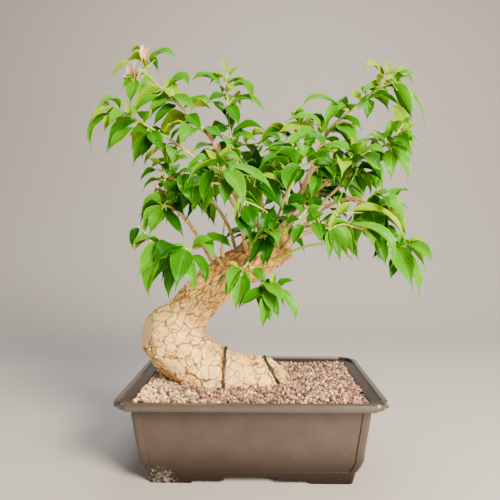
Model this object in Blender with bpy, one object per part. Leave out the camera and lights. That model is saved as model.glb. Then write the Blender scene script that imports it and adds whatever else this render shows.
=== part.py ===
"""Bougainvillea pre-bonsai in its training pot.

A stout trunk lies along the gravel, turns up at an elbow and ends in a flat saw cut. Slender boughs
leave its upper part, and each carries one mass of foliage. Metres, +Z up.
"""
import math
import random

import bmesh
import bpy
from mathutils import Vector
from mathutils.bvhtree import BVHTree

# Fits
GAP = 0.0003
FLAT_ANGLE = 0.0005
SHARP_ANGLE = math.radians(50.0)
UP = Vector((0.0, 0.0, 1.0))

# Pot, a moulded tray of 310 by 234 by 103.5 mm
POT_LENGTH = 0.310
POT_WIDTH = 0.234
POT_HEIGHT = 0.1035
RIM_HEIGHT = 0.0085
RIM_BREADTH = 0.0070
RIM_STEP = 0.0030
RIM_CORNER = 0.0145
RIM_EDGE = 0.0010
BODY_CORNER = 0.006
INNER_CORNER = 0.009
CORNER_SIDES = 2
NOTCH_DEPTH = 0.0035
NOTCH_RUN = 0.0012
PANEL_DEPTH = 0.0020
POST_WIDTH = 0.0045
FOOT_BREADTH = 0.010
FOOT_GAP_SHARE = 0.25
FOOT_GAP_HEIGHT = 0.0085
FOOT_STEP_SHARE = 0.56
FOOT_STEP_HEIGHT = 0.0034
FOOT_SLANT = 0.0030
# Height and distance in from the rim's outer edge: outside from foot to rim, then inside to floor
POT_OUTSIDE = ((0.0, 0.0355), (0.0135, 0.0325), (0.0215, 0.0280), (0.0300, 0.0248),
               (0.0450, 0.0233), (0.0700, 0.0200), (0.0930, 0.0174), (0.0950, 0.0162))
POT_PANEL = (0.0155, 0.0915)
POT_INSIDE = ((0.1000, 0.0188), (0.0975, 0.0200), (0.0930, 0.0217), (0.0450, 0.0278),
              (0.0240, 0.0318), (0.0160, 0.0400))

# Gravel that fills the pot
GRAVEL_TOP = 0.0990
GROUND = GRAVEL_TOP + GAP

# Trunk: centre x and z, radius, tilt of the ring in degrees, seen from the front
TRUNK_STATIONS = (
    (0.0430, 0.0960, 0.0120, 172.0),
    (0.0265, 0.0970, 0.0270, 176.0),
    (0.0030, 0.0990, 0.0320, 178.0),
    (-0.0280, 0.0995, 0.0365, 174.0),
    (-0.0585, 0.1080, 0.0385, 150.0),
    (-0.0810, 0.1280, 0.0375, 128.0),
    (-0.1005, 0.1490, 0.0415, 103.0),
    (-0.1030, 0.1665, 0.0415, 82.0),
    (-0.0870, 0.1845, 0.0295, 58.0),
    (-0.0745, 0.1995, 0.0266, 46.0),
    (-0.0540, 0.2185, 0.0266, 42.0),
    (-0.0310, 0.2380, 0.0258, 38.0),
    (-0.0076, 0.2515, 0.0246, 33.0),
    (0.0200, 0.2690, 0.0238, 28.0),
    (0.0485, 0.2810, 0.0190, 12.0),
)
TRUNK_SIDES = 14
TRUNK_RINGS_PER_STATION = 2
TRUNK_DEPTH = 0.98
LUMP_HEIGHT = 0.035
LUMPS_ROUND = 3
LUMP_TWIST = 0.9
LUMP_SPACING = 1.7
ELBOW_CUT_POINT = (-0.1430, 0.0, 0.1620)
ELBOW_CUT_NORMAL = (-0.94, -0.24, 0.22)

# Tie wires over the lying part of the trunk
WIRE_RADIUS = 0.0011
WIRE_SIDES = 5
WIRE_STEPS = 16
WIRE_CLEAR = WIRE_RADIUS + GAP * 4
WIRE_TAIL = 0.006
WIRES = {
    "tie_wire_left": ((-0.0340, 0.0, GROUND + 0.002), (1.0, 0.0, 0.0)),
    "tie_wire_right": ((0.0330, 0.0, GROUND + 0.002), (0.84, 0.07, 0.48)),
}

# Boughs: parent, route, radius at the foot and at the tip
BOUGH_SIDES = 5
BOUGH_STEPS = 6
BOUGHS = {
    "bough_left": (
        "trunk", ((0.000, -0.006, 0.260), (-0.012, -0.008, 0.316), (-0.026, -0.010, 0.352),
                  (-0.040, -0.012, 0.386), (-0.044, -0.012, 0.400)), 0.0064, 0.0038),
    "bough_left_arm": (
        "bough_left", ((-0.034, -0.011, 0.370), (-0.052, -0.020, 0.378), (-0.068, -0.025, 0.384)),
        0.0034, 0.0024),
    "bough_left_spur": (
        "trunk", ((-0.045, -0.008, 0.243), (-0.064, -0.022, 0.281), (-0.077, -0.032, 0.303),
                  (-0.090, -0.040, 0.319)), 0.0050, 0.0028),
    "bough_lower_left": (
        "trunk", ((-0.035, -0.010, 0.246), (-0.054, -0.038, 0.274), (-0.066, -0.055, 0.275)),
        0.0042, 0.0024),
    "bough_front": (
        "trunk", ((-0.005, -0.012, 0.260), (-0.012, -0.040, 0.298), (-0.022, -0.062, 0.328),
                  (-0.028, -0.074, 0.346)), 0.0050, 0.0026),
    "bough_centre": (
        "trunk", ((0.014, 0.008, 0.266), (0.004, 0.009, 0.322), (-0.010, 0.010, 0.354)),
        0.0052, 0.0034),
    "bough_right": (
        "trunk", ((0.024, 0.000, 0.276), (0.046, -0.006, 0.312), (0.064, -0.010, 0.346),
                  (0.077, -0.010, 0.374)), 0.0078, 0.0042),
    "bough_right_top": (
        "bough_right", ((0.064, -0.010, 0.344), (0.062, -0.002, 0.376), (0.062, 0.000, 0.400)),
        0.0034, 0.0022),
    "bough_right_outer": (
        "bough_right", ((0.058, -0.010, 0.332), (0.086, -0.012, 0.350), (0.113, -0.020, 0.371),
                        (0.140, -0.030, 0.387)), 0.0040, 0.0025),
    "bough_right_front": (
        "trunk", ((0.040, -0.010, 0.278), (0.081, -0.035, 0.323), (0.107, -0.045, 0.349),
                  (0.117, -0.049, 0.360)), 0.0044, 0.0025),
    "bough_front_right": (
        "trunk", ((0.022, -0.012, 0.273), (0.034, -0.045, 0.316), (0.048, -0.064, 0.354)),
        0.0042, 0.0024),
    "bough_right_middle": (
        "trunk", ((0.036, -0.014, 0.268), (0.056, -0.047, 0.296), (0.074, -0.070, 0.301)),
        0.0038, 0.0022),
    "bough_low_right": (
        "trunk", ((0.046, -0.003, 0.279), (0.090, -0.028, 0.322), (0.120, -0.039, 0.335),
                  (0.134, -0.045, 0.331)), 0.0042, 0.0024),
    "bough_droop_right": (
        "trunk", ((0.036, 0.008, 0.278), (0.098, -0.002, 0.304), (0.137, -0.022, 0.299),
                  (0.156, -0.038, 0.287)), 0.0042, 0.0023),
    "bough_hanging": (
        "trunk", ((0.005, -0.012, 0.260), (0.007, -0.044, 0.270), (0.002, -0.060, 0.264)),
        0.0032, 0.0021),
    "bough_collar": (
        "trunk", ((0.012, -0.010, 0.268), (0.014, -0.036, 0.288), (0.015, -0.048, 0.292)),
        0.0030, 0.0020),
    "bough_inner_left": (
        "bough_left", ((-0.023, -0.010, 0.346), (-0.040, -0.022, 0.354), (-0.056, -0.034, 0.354)),
        0.0030, 0.0021),
    "bough_inner_right": (
        "trunk", ((0.010, -0.010, 0.268), (0.014, -0.026, 0.306), (0.013, -0.036, 0.336)),
        0.0042, 0.0024),
    "bough_inner_far": (
        "trunk", ((0.030, 0.002, 0.280), (0.052, 0.016, 0.316), (0.074, 0.024, 0.338)),
        0.0042, 0.0024),
    "green_shoot_low": (
        "trunk", ((0.016, -0.010, 0.253), (0.040, -0.024, 0.264), (0.070, -0.026, 0.276),
                  (0.100, -0.025, 0.278), (0.114, -0.024, 0.271), (0.127, -0.022, 0.260)),
        0.0019, 0.0013),
    "green_shoot_upright": (
        "trunk", ((-0.040, -0.006, 0.250), (-0.037, -0.008, 0.290), (-0.033, -0.008, 0.318)),
        0.0015, 0.0009),
    "bough_back_left": (
        "trunk", ((-0.016, 0.010, 0.250), (-0.034, 0.040, 0.304), (-0.060, 0.062, 0.340),
                  (-0.078, 0.070, 0.350)), 0.0050, 0.0030),
    "bough_back_top": (
        "trunk", ((-0.004, 0.012, 0.262), (-0.010, 0.036, 0.318), (-0.006, 0.056, 0.364)),
        0.0055, 0.0030),
    "bough_back_right": (
        "trunk", ((0.030, 0.010, 0.274), (0.062, 0.042, 0.316), (0.096, 0.062, 0.350)),
        0.0055, 0.0030),
    "bough_back_low_right": (
        "trunk", ((0.040, 0.010, 0.278), (0.085, 0.042, 0.296), (0.118, 0.060, 0.304)),
        0.0045, 0.0026),
    "bough_back_low": (
        "trunk", ((0.014, 0.010, 0.262), (0.018, 0.048, 0.270), (0.019, 0.072, 0.278)),
        0.0042, 0.0026),
}

# Foliage masses: bough, seed, stem route beyond the bough's tip, leaves on the stem itself as
# (first place, count, length, turn), and side twigs as (place on the stem, tip, first place, count,
# leaf length, turn). Places are shares of the twig's length, and turns are in degrees.
MASSES = {
    "foliage_upper_left": (
        "bough_left", 11, ((-0.056, -0.013, 0.419), (-0.073, -0.015, 0.435), (-0.099, -0.020, 0.463),
                           (-0.119, -0.025, 0.479), (-0.136, -0.030, 0.496)), (0.30, 12, 0.046, 40),
        ((0.40, (-0.074, -0.028, 0.454), 0.5, 3, 0.036, 0),
         (0.14, (-0.086, -0.034, 0.422), 0.6, 3, 0.043, 200),
         (0.94, (-0.136, -0.031, 0.521), 0.3, 3, 0.030, 90))),
    "foliage_left_arm": (
        "bough_left_arm", 12, ((-0.094, -0.030, 0.404), (-0.128, -0.040, 0.424),
                               (-0.150, -0.045, 0.435), (-0.166, -0.050, 0.445)),
        (0.30, 10, 0.047, 100),
        ((0.22, (-0.116, -0.012, 0.400), 0.5, 3, 0.040, 30),
         (0.10, (-0.094, -0.060, 0.376), 0.5, 3, 0.042, 120))),
    "foliage_left_spur": (
        "bough_left_spur", 13, ((-0.101, -0.046, 0.325), (-0.110, -0.050, 0.327)),
        (0.50, 6, 0.044, 20),
        ((0.10, (-0.108, -0.030, 0.368), 0.45, 5, 0.034, 80),
         (0.30, (-0.126, -0.016, 0.336), 0.5, 3, 0.038, 10))),
    "foliage_lower_left": (
        "bough_lower_left", 14, ((-0.075, -0.061, 0.272), (-0.093, -0.066, 0.274),
                                 (-0.108, -0.070, 0.277)), (0.20, 9, 0.054, 60),
        ((0.85, (-0.124, -0.062, 0.288), 0.5, 3, 0.032, 0),)),
    "foliage_front": (
        "bough_front", 15, ((-0.034, -0.085, 0.361), (-0.037, -0.090, 0.369)),
        (0.60, 6, 0.052, 250),
        ((0.10, (-0.006, -0.082, 0.328), 0.5, 4, 0.042, 0),
         (0.20, (0.008, -0.074, 0.356), 0.5, 3, 0.044, 70),
         (0.25, (-0.064, -0.078, 0.348), 0.5, 4, 0.040, 140),
         (0.40, (-0.028, -0.066, 0.394), 0.5, 3, 0.038, 30))),
    "foliage_top": (
        "bough_centre", 16, ((-0.018, 0.010, 0.380), (-0.027, 0.010, 0.411), (-0.031, 0.010, 0.444),
                             (-0.033, 0.010, 0.474), (-0.034, 0.010, 0.504)),
        (0.25, 15, 0.046, 0),
        ((0.08, (-0.052, 0.024, 0.372), 0.5, 4, 0.042, 50),
         (0.12, (0.022, 0.004, 0.380), 0.5, 4, 0.042, 10),
         (0.30, (0.016, 0.012, 0.412), 0.5, 4, 0.044, 80),
         (0.28, (-0.062, 0.014, 0.402), 0.5, 3, 0.040, 170))),
    "foliage_upper_right": (
        "bough_right", 17, ((0.086, -0.010, 0.400), (0.101, -0.015, 0.426), (0.124, -0.020, 0.445),
                            (0.149, -0.025, 0.466), (0.174, -0.030, 0.490)), (0.30, 13, 0.049, 80),
        ((0.42, (0.128, -0.038, 0.423), 0.5, 3, 0.045, 0),
         (0.80, (0.178, -0.046, 0.474), 0.5, 3, 0.044, 120),
         (0.12, (0.106, 0.016, 0.402), 0.5, 3, 0.042, 60))),
    "foliage_right_top": (
        "bough_right_top", 18, ((0.060, 0.000, 0.414), (0.057, -0.004, 0.426)),
        (0.40, 6, 0.035, 15),
        ((0.50, (0.071, -0.024, 0.436), 0.5, 3, 0.034, 40),
         (0.30, (0.034, -0.012, 0.422), 0.5, 4, 0.036, 100),
         (0.15, (0.030, -0.024, 0.396), 0.5, 3, 0.038, 10))),
    "foliage_right_outer": (
        "bough_right_outer", 19, ((0.155, -0.036, 0.395), (0.168, -0.040, 0.403),
                                  (0.178, -0.041, 0.415), (0.185, -0.042, 0.425)),
        (0.30, 9, 0.043, 70),
        ((0.35, (0.166, -0.060, 0.392), 0.5, 3, 0.046, 0),
         (0.40, (0.156, -0.016, 0.410), 0.5, 3, 0.040, 50))),
    "foliage_right_centre": (
        "bough_right_front", 20, ((0.123, -0.053, 0.370), (0.130, -0.056, 0.386)),
        (0.40, 7, 0.048, 45),
        ((0.20, (0.128, -0.078, 0.358), 0.5, 4, 0.042, 160),
         (0.10, (0.100, -0.066, 0.376), 0.5, 3, 0.040, 20))),
    "foliage_front_right": (
        "bough_front_right", 21, ((0.054, -0.070, 0.366), (0.059, -0.073, 0.373)),
        (0.45, 5, 0.046, 0),
        ((0.40, (0.048, -0.070, 0.394), 0.5, 4, 0.037, 60),
         (0.20, (0.030, -0.066, 0.364), 0.5, 3, 0.040, 100),
         (0.30, (0.082, -0.068, 0.376), 0.5, 3, 0.038, 30))),
    "foliage_right_middle": (
        "bough_right_middle", 22, ((0.083, -0.077, 0.298), (0.091, -0.080, 0.297)),
        (0.45, 7, 0.043, 200),
        ((0.20, (0.062, -0.076, 0.324), 0.5, 4, 0.040, 0),
         (0.30, (0.104, -0.076, 0.326), 0.5, 3, 0.040, 80))),
    "foliage_low_right": (
        "bough_low_right", 23, ((0.148, -0.050, 0.326), (0.163, -0.055, 0.316)),
        (0.25, 8, 0.054, 10),
        ((0.20, (0.148, -0.070, 0.342), 0.5, 3, 0.042, 90),
         (0.50, (0.176, -0.034, 0.332), 0.5, 3, 0.044, 150))),
    "foliage_droop_right": (
        "bough_droop_right", 24, ((0.171, -0.050, 0.275), (0.192, -0.055, 0.279)),
        (0.30, 7, 0.048, 0),
        ((0.30, (0.180, -0.026, 0.288), 0.5, 3, 0.040, 60),
         (0.50, (0.168, -0.064, 0.258), 0.5, 2, 0.050, 0))),
    "foliage_hanging": (
        "bough_hanging", 25, ((-0.005, -0.071, 0.255), (-0.012, -0.079, 0.248)),
        (0.70, 5, 0.045, 130),
        ((0.30, (0.020, -0.080, 0.228), 0.65, 6, 0.045, 0),)),
    "foliage_collar": (
        "bough_collar", 26, ((0.016, -0.056, 0.292), (0.017, -0.062, 0.290)),
        (0.55, 5, 0.039, 250),
        ((0.30, (0.030, -0.060, 0.310), 0.5, 3, 0.034, 0),)),
    "foliage_inner_left": (
        "bough_inner_left", 32, ((-0.066, -0.040, 0.350), (-0.076, -0.044, 0.345)),
        (0.30, 6, 0.042, 0),
        ((0.20, (-0.070, -0.030, 0.370), 0.5, 3, 0.038, 40),
         (0.30, (-0.062, -0.060, 0.340), 0.5, 3, 0.038, 100))),
    "foliage_inner_right": (
        "bough_inner_right", 33, ((0.012, -0.040, 0.350), (0.014, -0.042, 0.362)),
        (0.35, 6, 0.042, 60),
        ((0.15, (0.030, -0.046, 0.344), 0.5, 3, 0.042, 0),
         (0.40, (-0.006, -0.044, 0.370), 0.5, 3, 0.040, 90))),
    "foliage_inner_far": (
        "bough_inner_far", 34, ((0.088, 0.026, 0.348), (0.100, 0.026, 0.358)),
        (0.30, 7, 0.044, 30),
        ((0.20, (0.086, 0.008, 0.364), 0.5, 3, 0.042, 0),
         (0.30, (0.116, 0.020, 0.342), 0.5, 3, 0.044, 120))),
    "foliage_back_left": (
        "bough_back_left", 27, ((-0.100, 0.080, 0.355), (-0.118, 0.092, 0.366)),
        (0.35, 6, 0.048, 0),
        ((0.20, (-0.132, 0.066, 0.340), 0.5, 4, 0.045, 0),
         (0.30, (-0.090, 0.108, 0.370), 0.5, 4, 0.045, 60),
         (0.60, (-0.122, 0.074, 0.396), 0.5, 4, 0.042, 120),
         (0.10, (-0.066, 0.088, 0.346), 0.5, 4, 0.045, 180))),
    "foliage_back_top": (
        "bough_back_top", 28, ((0.000, 0.070, 0.390), (0.008, 0.074, 0.410)),
        (0.35, 6, 0.047, 90),
        ((0.30, (0.040, 0.086, 0.398), 0.5, 4, 0.045, 0),
         (0.25, (-0.040, 0.080, 0.402), 0.5, 4, 0.045, 60),
         (0.10, (0.004, 0.102, 0.376), 0.5, 4, 0.045, 120),
         (0.10, (0.020, 0.042, 0.374), 0.5, 3, 0.042, 30))),
    "foliage_back_right": (
        "bough_back_right", 29, ((0.120, 0.078, 0.374), (0.136, 0.086, 0.388)),
        (0.35, 6, 0.048, 45),
        ((0.30, (0.154, 0.064, 0.370), 0.5, 4, 0.045, 0),
         (0.20, (0.104, 0.106, 0.378), 0.5, 4, 0.045, 90),
         (0.70, (0.126, 0.070, 0.416), 0.5, 4, 0.042, 10),
         (0.10, (0.086, 0.088, 0.354), 0.5, 4, 0.045, 200))),
    "foliage_back_low_right": (
        "bough_back_low_right", 30, ((0.138, 0.072, 0.306), (0.156, 0.082, 0.303)),
        (0.35, 6, 0.049, 0),
        ((0.20, (0.164, 0.056, 0.294), 0.5, 4, 0.046, 70),
         (0.30, (0.132, 0.104, 0.310), 0.5, 4, 0.046, 150),
         (0.40, (0.166, 0.076, 0.326), 0.5, 3, 0.044, 0))),
    "foliage_back_low": (
        "bough_back_low", 31, ((0.020, 0.090, 0.288), (0.020, 0.100, 0.292)),
        (0.35, 6, 0.046, 30),
        ((0.20, (-0.008, 0.096, 0.286), 0.5, 4, 0.044, 0),
         (0.20, (0.052, 0.102, 0.296), 0.5, 4, 0.046, 70),
         (0.30, (0.022, 0.094, 0.322), 0.5, 3, 0.044, 120))),
}

# Twigs: a side twig leaves along its stem, bows upwards and ends at its own tip
TWIG_SIDES = 3
TWIG_STEP = 0.026
SIDE_TWIG_RADIUS = 0.0013
TWIG_TIP_RADIUS = 0.0008
TWIG_AHEAD = 0.175
TWIG_BOW_PLACE = 0.35
TWIG_WANDER = 0.06
TWIG_LIFT = 0.036
TWIG_CLEARANCE = 1.6
SLOPE_STEP = 0.02

# Leaves: set round the twig by the golden angle, spread less and grow shorter towards its tip
LEAF_TURN = 137.5
LEAF_TURN_CHANCE = 18.0
LEAF_SPREAD_FOOT = 68.0
LEAF_SPREAD_TIP = 38.0
LEAF_SPREAD_CHANCE = 8.0
LEAF_SCALE = 1.28
LEAF_SCALE_CHANCE = 0.12
LEAF_TIP_SHRINK = 0.30
LEAF_DROOP = 0.95
LEAF_DROOP_CHANCE = 0.3
LEAF_FOOT_DROOP = 0.30
LEAF_WIDTH = 0.48
LEAF_WIDEST = 0.44
LEAF_FOLD = 0.30
LEAF_FACING_OUT = 0.8
LEAF_THICKNESS = 0.0012
LEAF_FACES = ((0, 4, 1), (1, 4, 3), (3, 4, 2), (2, 4, 0), (0, 1, 5), (1, 3, 5), (3, 2, 5), (2, 0, 5))

# Room that a leaf needs, and the turns that it tries to find it
CLEAR_GROWTH = 1.08
CLEAR_THICKNESS = 0.0036
CLEAR_SKIP = 0.18
CLEAR_REACH = 0.15
LEAF_TRIES = 8
TRY_TURN = 24.0


def colour(code):
    """Linear colour of an sRGB hex code."""
    parts = [int(code[i:i + 2], 16) / 255.0 for i in (1, 3, 5)]
    return [c / 12.92 if c <= 0.04045 else ((c + 0.055) / 1.055) ** 2.4 for c in parts] + [1.0]


def make_material(name, code, roughness):
    """Plain Principled material of one colour."""
    material = bpy.data.materials.new(name)
    material.use_nodes = True
    shader = material.node_tree.nodes["Principled BSDF"]
    shader.inputs["Base Color"].default_value = colour(code)
    shader.inputs["Roughness"].default_value = roughness
    shader.inputs["Metallic"].default_value = 0.0
    return material


def make_object(name, bm, material=None, smooth=False):
    """Object with the bmesh's shape, normals pointing out."""
    bmesh.ops.recalc_face_normals(bm, faces=bm.faces[:])
    mesh = bpy.data.meshes.new(name)
    bm.to_mesh(mesh)
    bm.free()
    thing = bpy.data.objects.new(name, mesh)
    bpy.context.scene.collection.objects.link(thing)
    if material:
        mesh.materials.append(material)
    if smooth:
        mesh.shade_smooth()
        mesh.set_sharp_from_angle(angle=SHARP_ANGLE)
    return thing


def loft(bm, rings, capped=True):
    """Skin a row of equal rings with quads and close both ends."""
    rows = [[bm.verts.new(p) for p in ring] for ring in rings]
    count = len(rows[0])
    for low, high in zip(rows, rows[1:]):
        for i in range(count):
            j = (i + 1) % count
            bm.faces.new((low[i], low[j], high[j], high[i]))
    if capped:
        bm.faces.new(rows[0][::-1])
        bm.faces.new(rows[-1])


def curve_point(points, share):
    """Point on the smooth curve through the given points, at a share of its run."""
    spans = len(points) - 1
    place = min(max(share, 0.0), 1.0) * spans
    k = min(int(place), spans - 1)
    t = place - k
    p1, p2 = Vector(points[k]), Vector(points[k + 1])
    p0 = Vector(points[k - 1]) if k > 0 else p1 * 2 - p2
    p3 = Vector(points[k + 2]) if k + 2 <= spans else p2 * 2 - p1
    return 0.5 * (2 * p1 + (p2 - p0) * t + (2 * p0 - 5 * p1 + 4 * p2 - p3) * t ** 2
                  + (3 * p1 - p0 - 3 * p2 + p3) * t ** 3)


def across(direction):
    """Two unit vectors across a direction, at right angles."""
    hint = UP if abs(direction.z) < 0.9 else Vector((0.0, 1.0, 0.0))
    side = direction.cross(hint).normalized()
    return side, side.cross(direction).normalized()


def limb_rings(points, steps, foot, tip, sides, first=None):
    """Rings of a tapering limb along a smooth curve, with each ring square to the run."""
    places = [curve_point(points, i / steps) for i in range(steps + 1)]
    rings = []
    side = None
    for i, centre in enumerate(places):
        ahead = places[min(i + 1, steps)] - places[max(i - 1, 0)]
        run = first if first is not None and i == 0 else ahead.normalized()
        if side is None:
            side = across(run)[0]
        side = (side - run * side.dot(run)).normalized()
        other = run.cross(side)
        radius = foot + (tip - foot) * i / steps
        rings.append([centre + (side * math.cos(a) + other * math.sin(a)) * radius
                      for a in (math.tau * k / sides for k in range(sides))])
    return rings


def bake(thing):
    """Replace an object's mesh with its evaluated one and drop the modifiers."""
    graph = bpy.context.evaluated_depsgraph_get()
    mesh = bpy.data.meshes.new_from_object(thing.evaluated_get(graph), depsgraph=graph)
    thing.modifiers.clear()
    thing.data = mesh


def cut_away(thing, cutter):
    """Cut one object with another, which is then removed."""
    cut = thing.modifiers.new("cut", "BOOLEAN")
    cut.operation = "DIFFERENCE"
    cut.solver = "EXACT"
    cut.object = cutter
    bake(thing)
    bpy.data.objects.remove(cutter)


def islands(bm):
    """Connected groups of faces."""
    left = set(bm.faces)
    groups = []
    while left:
        queue = [left.pop()]
        group = []
        while queue:
            face = queue.pop()
            group.append(face)
            for edge in face.edges:
                for other in edge.link_faces:
                    if other in left:
                        left.remove(other)
                        queue.append(other)
        groups.append(group)
    return groups


def volume_of(faces):
    """Signed volume inside a closed group of faces."""
    total = 0.0
    for face in faces:
        corners = [v.co for v in face.verts]
        for b, c in zip(corners[1:], corners[2:]):
            total += corners[0].dot(b.cross(c)) / 6.0
    return total


def keep_largest(thing):
    """Drop scrap and sealed hollows, so one closed body is left."""
    bm = bmesh.new()
    bm.from_mesh(thing.data)
    groups = sorted(islands(bm), key=volume_of)
    spare = [face for group in groups[:-1] for face in group]
    bmesh.ops.delete(bm, geom=spare, context="FACES")
    bmesh.ops.dissolve_limit(bm, angle_limit=FLAT_ANGLE, verts=bm.verts[:], edges=bm.edges[:])
    bmesh.ops.triangulate(bm, faces=bm.faces[:])
    bm.to_mesh(thing.data)
    bm.free()


def pot_outline(z, inset, radius, notch=0.0, panel=0.0):
    """Closed ring of the pot at one height: rounded corners, optional notches and panels."""
    half = (POT_LENGTH / 2 - inset, POT_WIDTH / 2 - inset)
    ring = []
    for quarter in range(4):
        turned = quarter % 2
        along, out = (half[turned], half[1 - turned])
        arc = [math.pi / 2 * k / CORNER_SIDES for k in range(CORNER_SIDES + 1)]
        near = [(-along + radius + NOTCH_RUN, out - notch),
                (-along + radius + NOTCH_RUN * 2, out),
                (-along + radius + POST_WIDTH, out),
                (-along + radius + POST_WIDTH + PANEL_DEPTH, out - panel)]
        row = near + [(-x, y) for x, y in near[::-1]]
        corner = [(along - notch - radius + radius * math.sin(a),
                   out - notch - radius + radius * math.cos(a)) for a in arc]
        turn = -math.pi / 2 * quarter
        for x, y in row + corner:
            ring.append(Vector((x * math.cos(turn) - y * math.sin(turn),
                                x * math.sin(turn) + y * math.cos(turn), z)))
    return ring


def wedge_cutter(length, width, height):
    """Block with slanted ends that starts twice its height below the table."""
    bm = bmesh.new()
    bmesh.ops.create_cube(bm, size=1.0)
    for vert in bm.verts:
        top = vert.co.z > 0
        vert.co.x *= length if top else length + 2 * FOOT_SLANT * 3
        vert.co.y *= width
        vert.co.z = height if top else -2 * height
    return make_object("foot_cutter", bm)


def panel_depth(z):
    """How far the panels lie back at a height of the wall."""
    low, high = POT_PANEL
    return PANEL_DEPTH if low < z < high else 0.0


def make_pot(material):
    """Tray with a lipped, notched rim, recessed panels and stepped corner feet."""
    low, high = POT_PANEL
    wall = sorted(POT_OUTSIDE + tuple((z, inset_at(z, POT_OUTSIDE))
                                      for z in (low, low + 0.001, high - 0.001, high)))
    rings = [pot_outline(z, inset, BODY_CORNER, panel=panel_depth(z)) for z, inset in wall]
    rim_foot = POT_HEIGHT - RIM_HEIGHT
    rings += [
        pot_outline(rim_foot + RIM_EDGE, RIM_EDGE, RIM_CORNER, NOTCH_DEPTH),
        pot_outline(POT_HEIGHT - RIM_EDGE, 0.0, RIM_CORNER, NOTCH_DEPTH),
        pot_outline(POT_HEIGHT, RIM_EDGE, RIM_CORNER, NOTCH_DEPTH),
        pot_outline(POT_HEIGHT, RIM_BREADTH, RIM_CORNER, NOTCH_DEPTH / 2),
        pot_outline(POT_HEIGHT - RIM_STEP, RIM_BREADTH + RIM_EDGE, RIM_CORNER),
    ]
    rings += [pot_outline(z, inset, INNER_CORNER) for z, inset in POT_INSIDE]
    bm = bmesh.new()
    loft(bm, rings)
    pot = make_object("pot", bm, material)
    foot_inset = POT_OUTSIDE[0][1]
    foot = (POT_LENGTH - 2 * foot_inset, POT_WIDTH - 2 * foot_inset)
    bm = bmesh.new()
    bmesh.ops.create_cube(bm, size=1.0)
    for vert in bm.verts:
        vert.co.x *= foot[0] - 2 * FOOT_BREADTH
        vert.co.y *= foot[1] - 2 * FOOT_BREADTH
        vert.co.z = FOOT_GAP_HEIGHT * (1.0 if vert.co.z > 0 else -1.0)
    cut_away(pot, make_object("hollow_cutter", bm))
    for turned in (0, 1):
        for share, height in ((FOOT_GAP_SHARE, FOOT_GAP_HEIGHT), (FOOT_STEP_SHARE, FOOT_STEP_HEIGHT)):
            cutter = wedge_cutter(foot[turned] * share, POT_LENGTH * 2, height)
            for vert in cutter.data.vertices:
                x, y, z = vert.co
                vert.co = (y, -x, z) if turned else (x, y, z)
            cut_away(pot, cutter)
    keep_largest(pot)
    return pot


def inset_at(z, profile):
    """Distance in from the rim's edge at a height of a profile."""
    rows = sorted(profile)
    for (z0, inset0), (z1, inset1) in zip(rows, rows[1:]):
        if z0 <= z <= z1 and z1 > z0:
            return inset0 + (inset1 - inset0) * (z - z0) / (z1 - z0)
    return rows[-1][1]


def make_gravel(material):
    """Solid fill of the pot, level on top."""
    levels = [(z, inset) for z, inset in POT_INSIDE[::-1] if z < GRAVEL_TOP]
    levels.append((GRAVEL_TOP, inset_at(GRAVEL_TOP, POT_INSIDE)))
    rings = [pot_outline(z, inset + 2 * GAP, INNER_CORNER) for z, inset in levels]
    for point in rings[0]:
        point.z += GAP
    bm = bmesh.new()
    loft(bm, rings)
    return make_object("gravel", bm, material)


def swell(bm, extra):
    """Move a closed shape's surface outwards by the same amount everywhere."""
    bm.normal_update()
    shifts = [(v, v.normal * extra * v.calc_shell_factor()) for v in bm.verts]
    for vert, shift in shifts:
        vert.co += shift
    return bm


def trunk_rings():
    """Rings of the trunk, each tilted as its station says."""
    steps = TRUNK_RINGS_PER_STATION * (len(TRUNK_STATIONS) - 1)
    centres = [(x, 0.0, z) for x, z, _, _ in TRUNK_STATIONS]
    shapes = [(radius, tilt, 0.0) for _, _, radius, tilt in TRUNK_STATIONS]
    rings = []
    for i in range(steps + 1):
        centre = curve_point(centres, i / steps)
        radius, tilt, _ = curve_point(shapes, i / steps)
        run = math.radians(tilt)
        out = Vector((math.cos(run + math.pi / 2), 0.0, math.sin(run + math.pi / 2)))
        depth = Vector((0.0, 1.0, 0.0))
        ring = []
        for k in range(TRUNK_SIDES):
            angle = math.tau * k / TRUNK_SIDES
            lump = math.sin(LUMPS_ROUND * angle + LUMP_TWIST * i) * math.cos(LUMP_SPACING * i)
            reach = radius * (1.0 + LUMP_HEIGHT * lump)
            ring.append(centre + out * math.cos(angle) * reach
                        + depth * math.sin(angle) * reach * TRUNK_DEPTH)
        rings.append(ring)
    return rings


def trim(bm, point, normal):
    """Cut off what lies on the normal's side of a plane and close the cut."""
    cut = bmesh.ops.bisect_plane(bm, geom=bm.verts[:] + bm.edges[:] + bm.faces[:], dist=1e-6,
                                 plane_co=point, plane_no=normal, clear_outer=True)
    rim = [g for g in cut["geom_cut"] if isinstance(g, bmesh.types.BMEdge)]
    bmesh.ops.edgeloop_fill(bm, edges=rim)


def trunk_shape():
    """Closed bmesh of the trunk: level cut at the ground and flat cut on the elbow."""
    bm = bmesh.new()
    loft(bm, trunk_rings())
    trim(bm, (0.0, 0.0, GROUND), -UP)
    normal = Vector(ELBOW_CUT_NORMAL).normalized()
    trim(bm, ELBOW_CUT_POINT, normal)
    bmesh.ops.triangulate(bm, faces=bm.faces[:])
    bmesh.ops.recalc_face_normals(bm, faces=bm.faces[:])
    return bm


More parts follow.
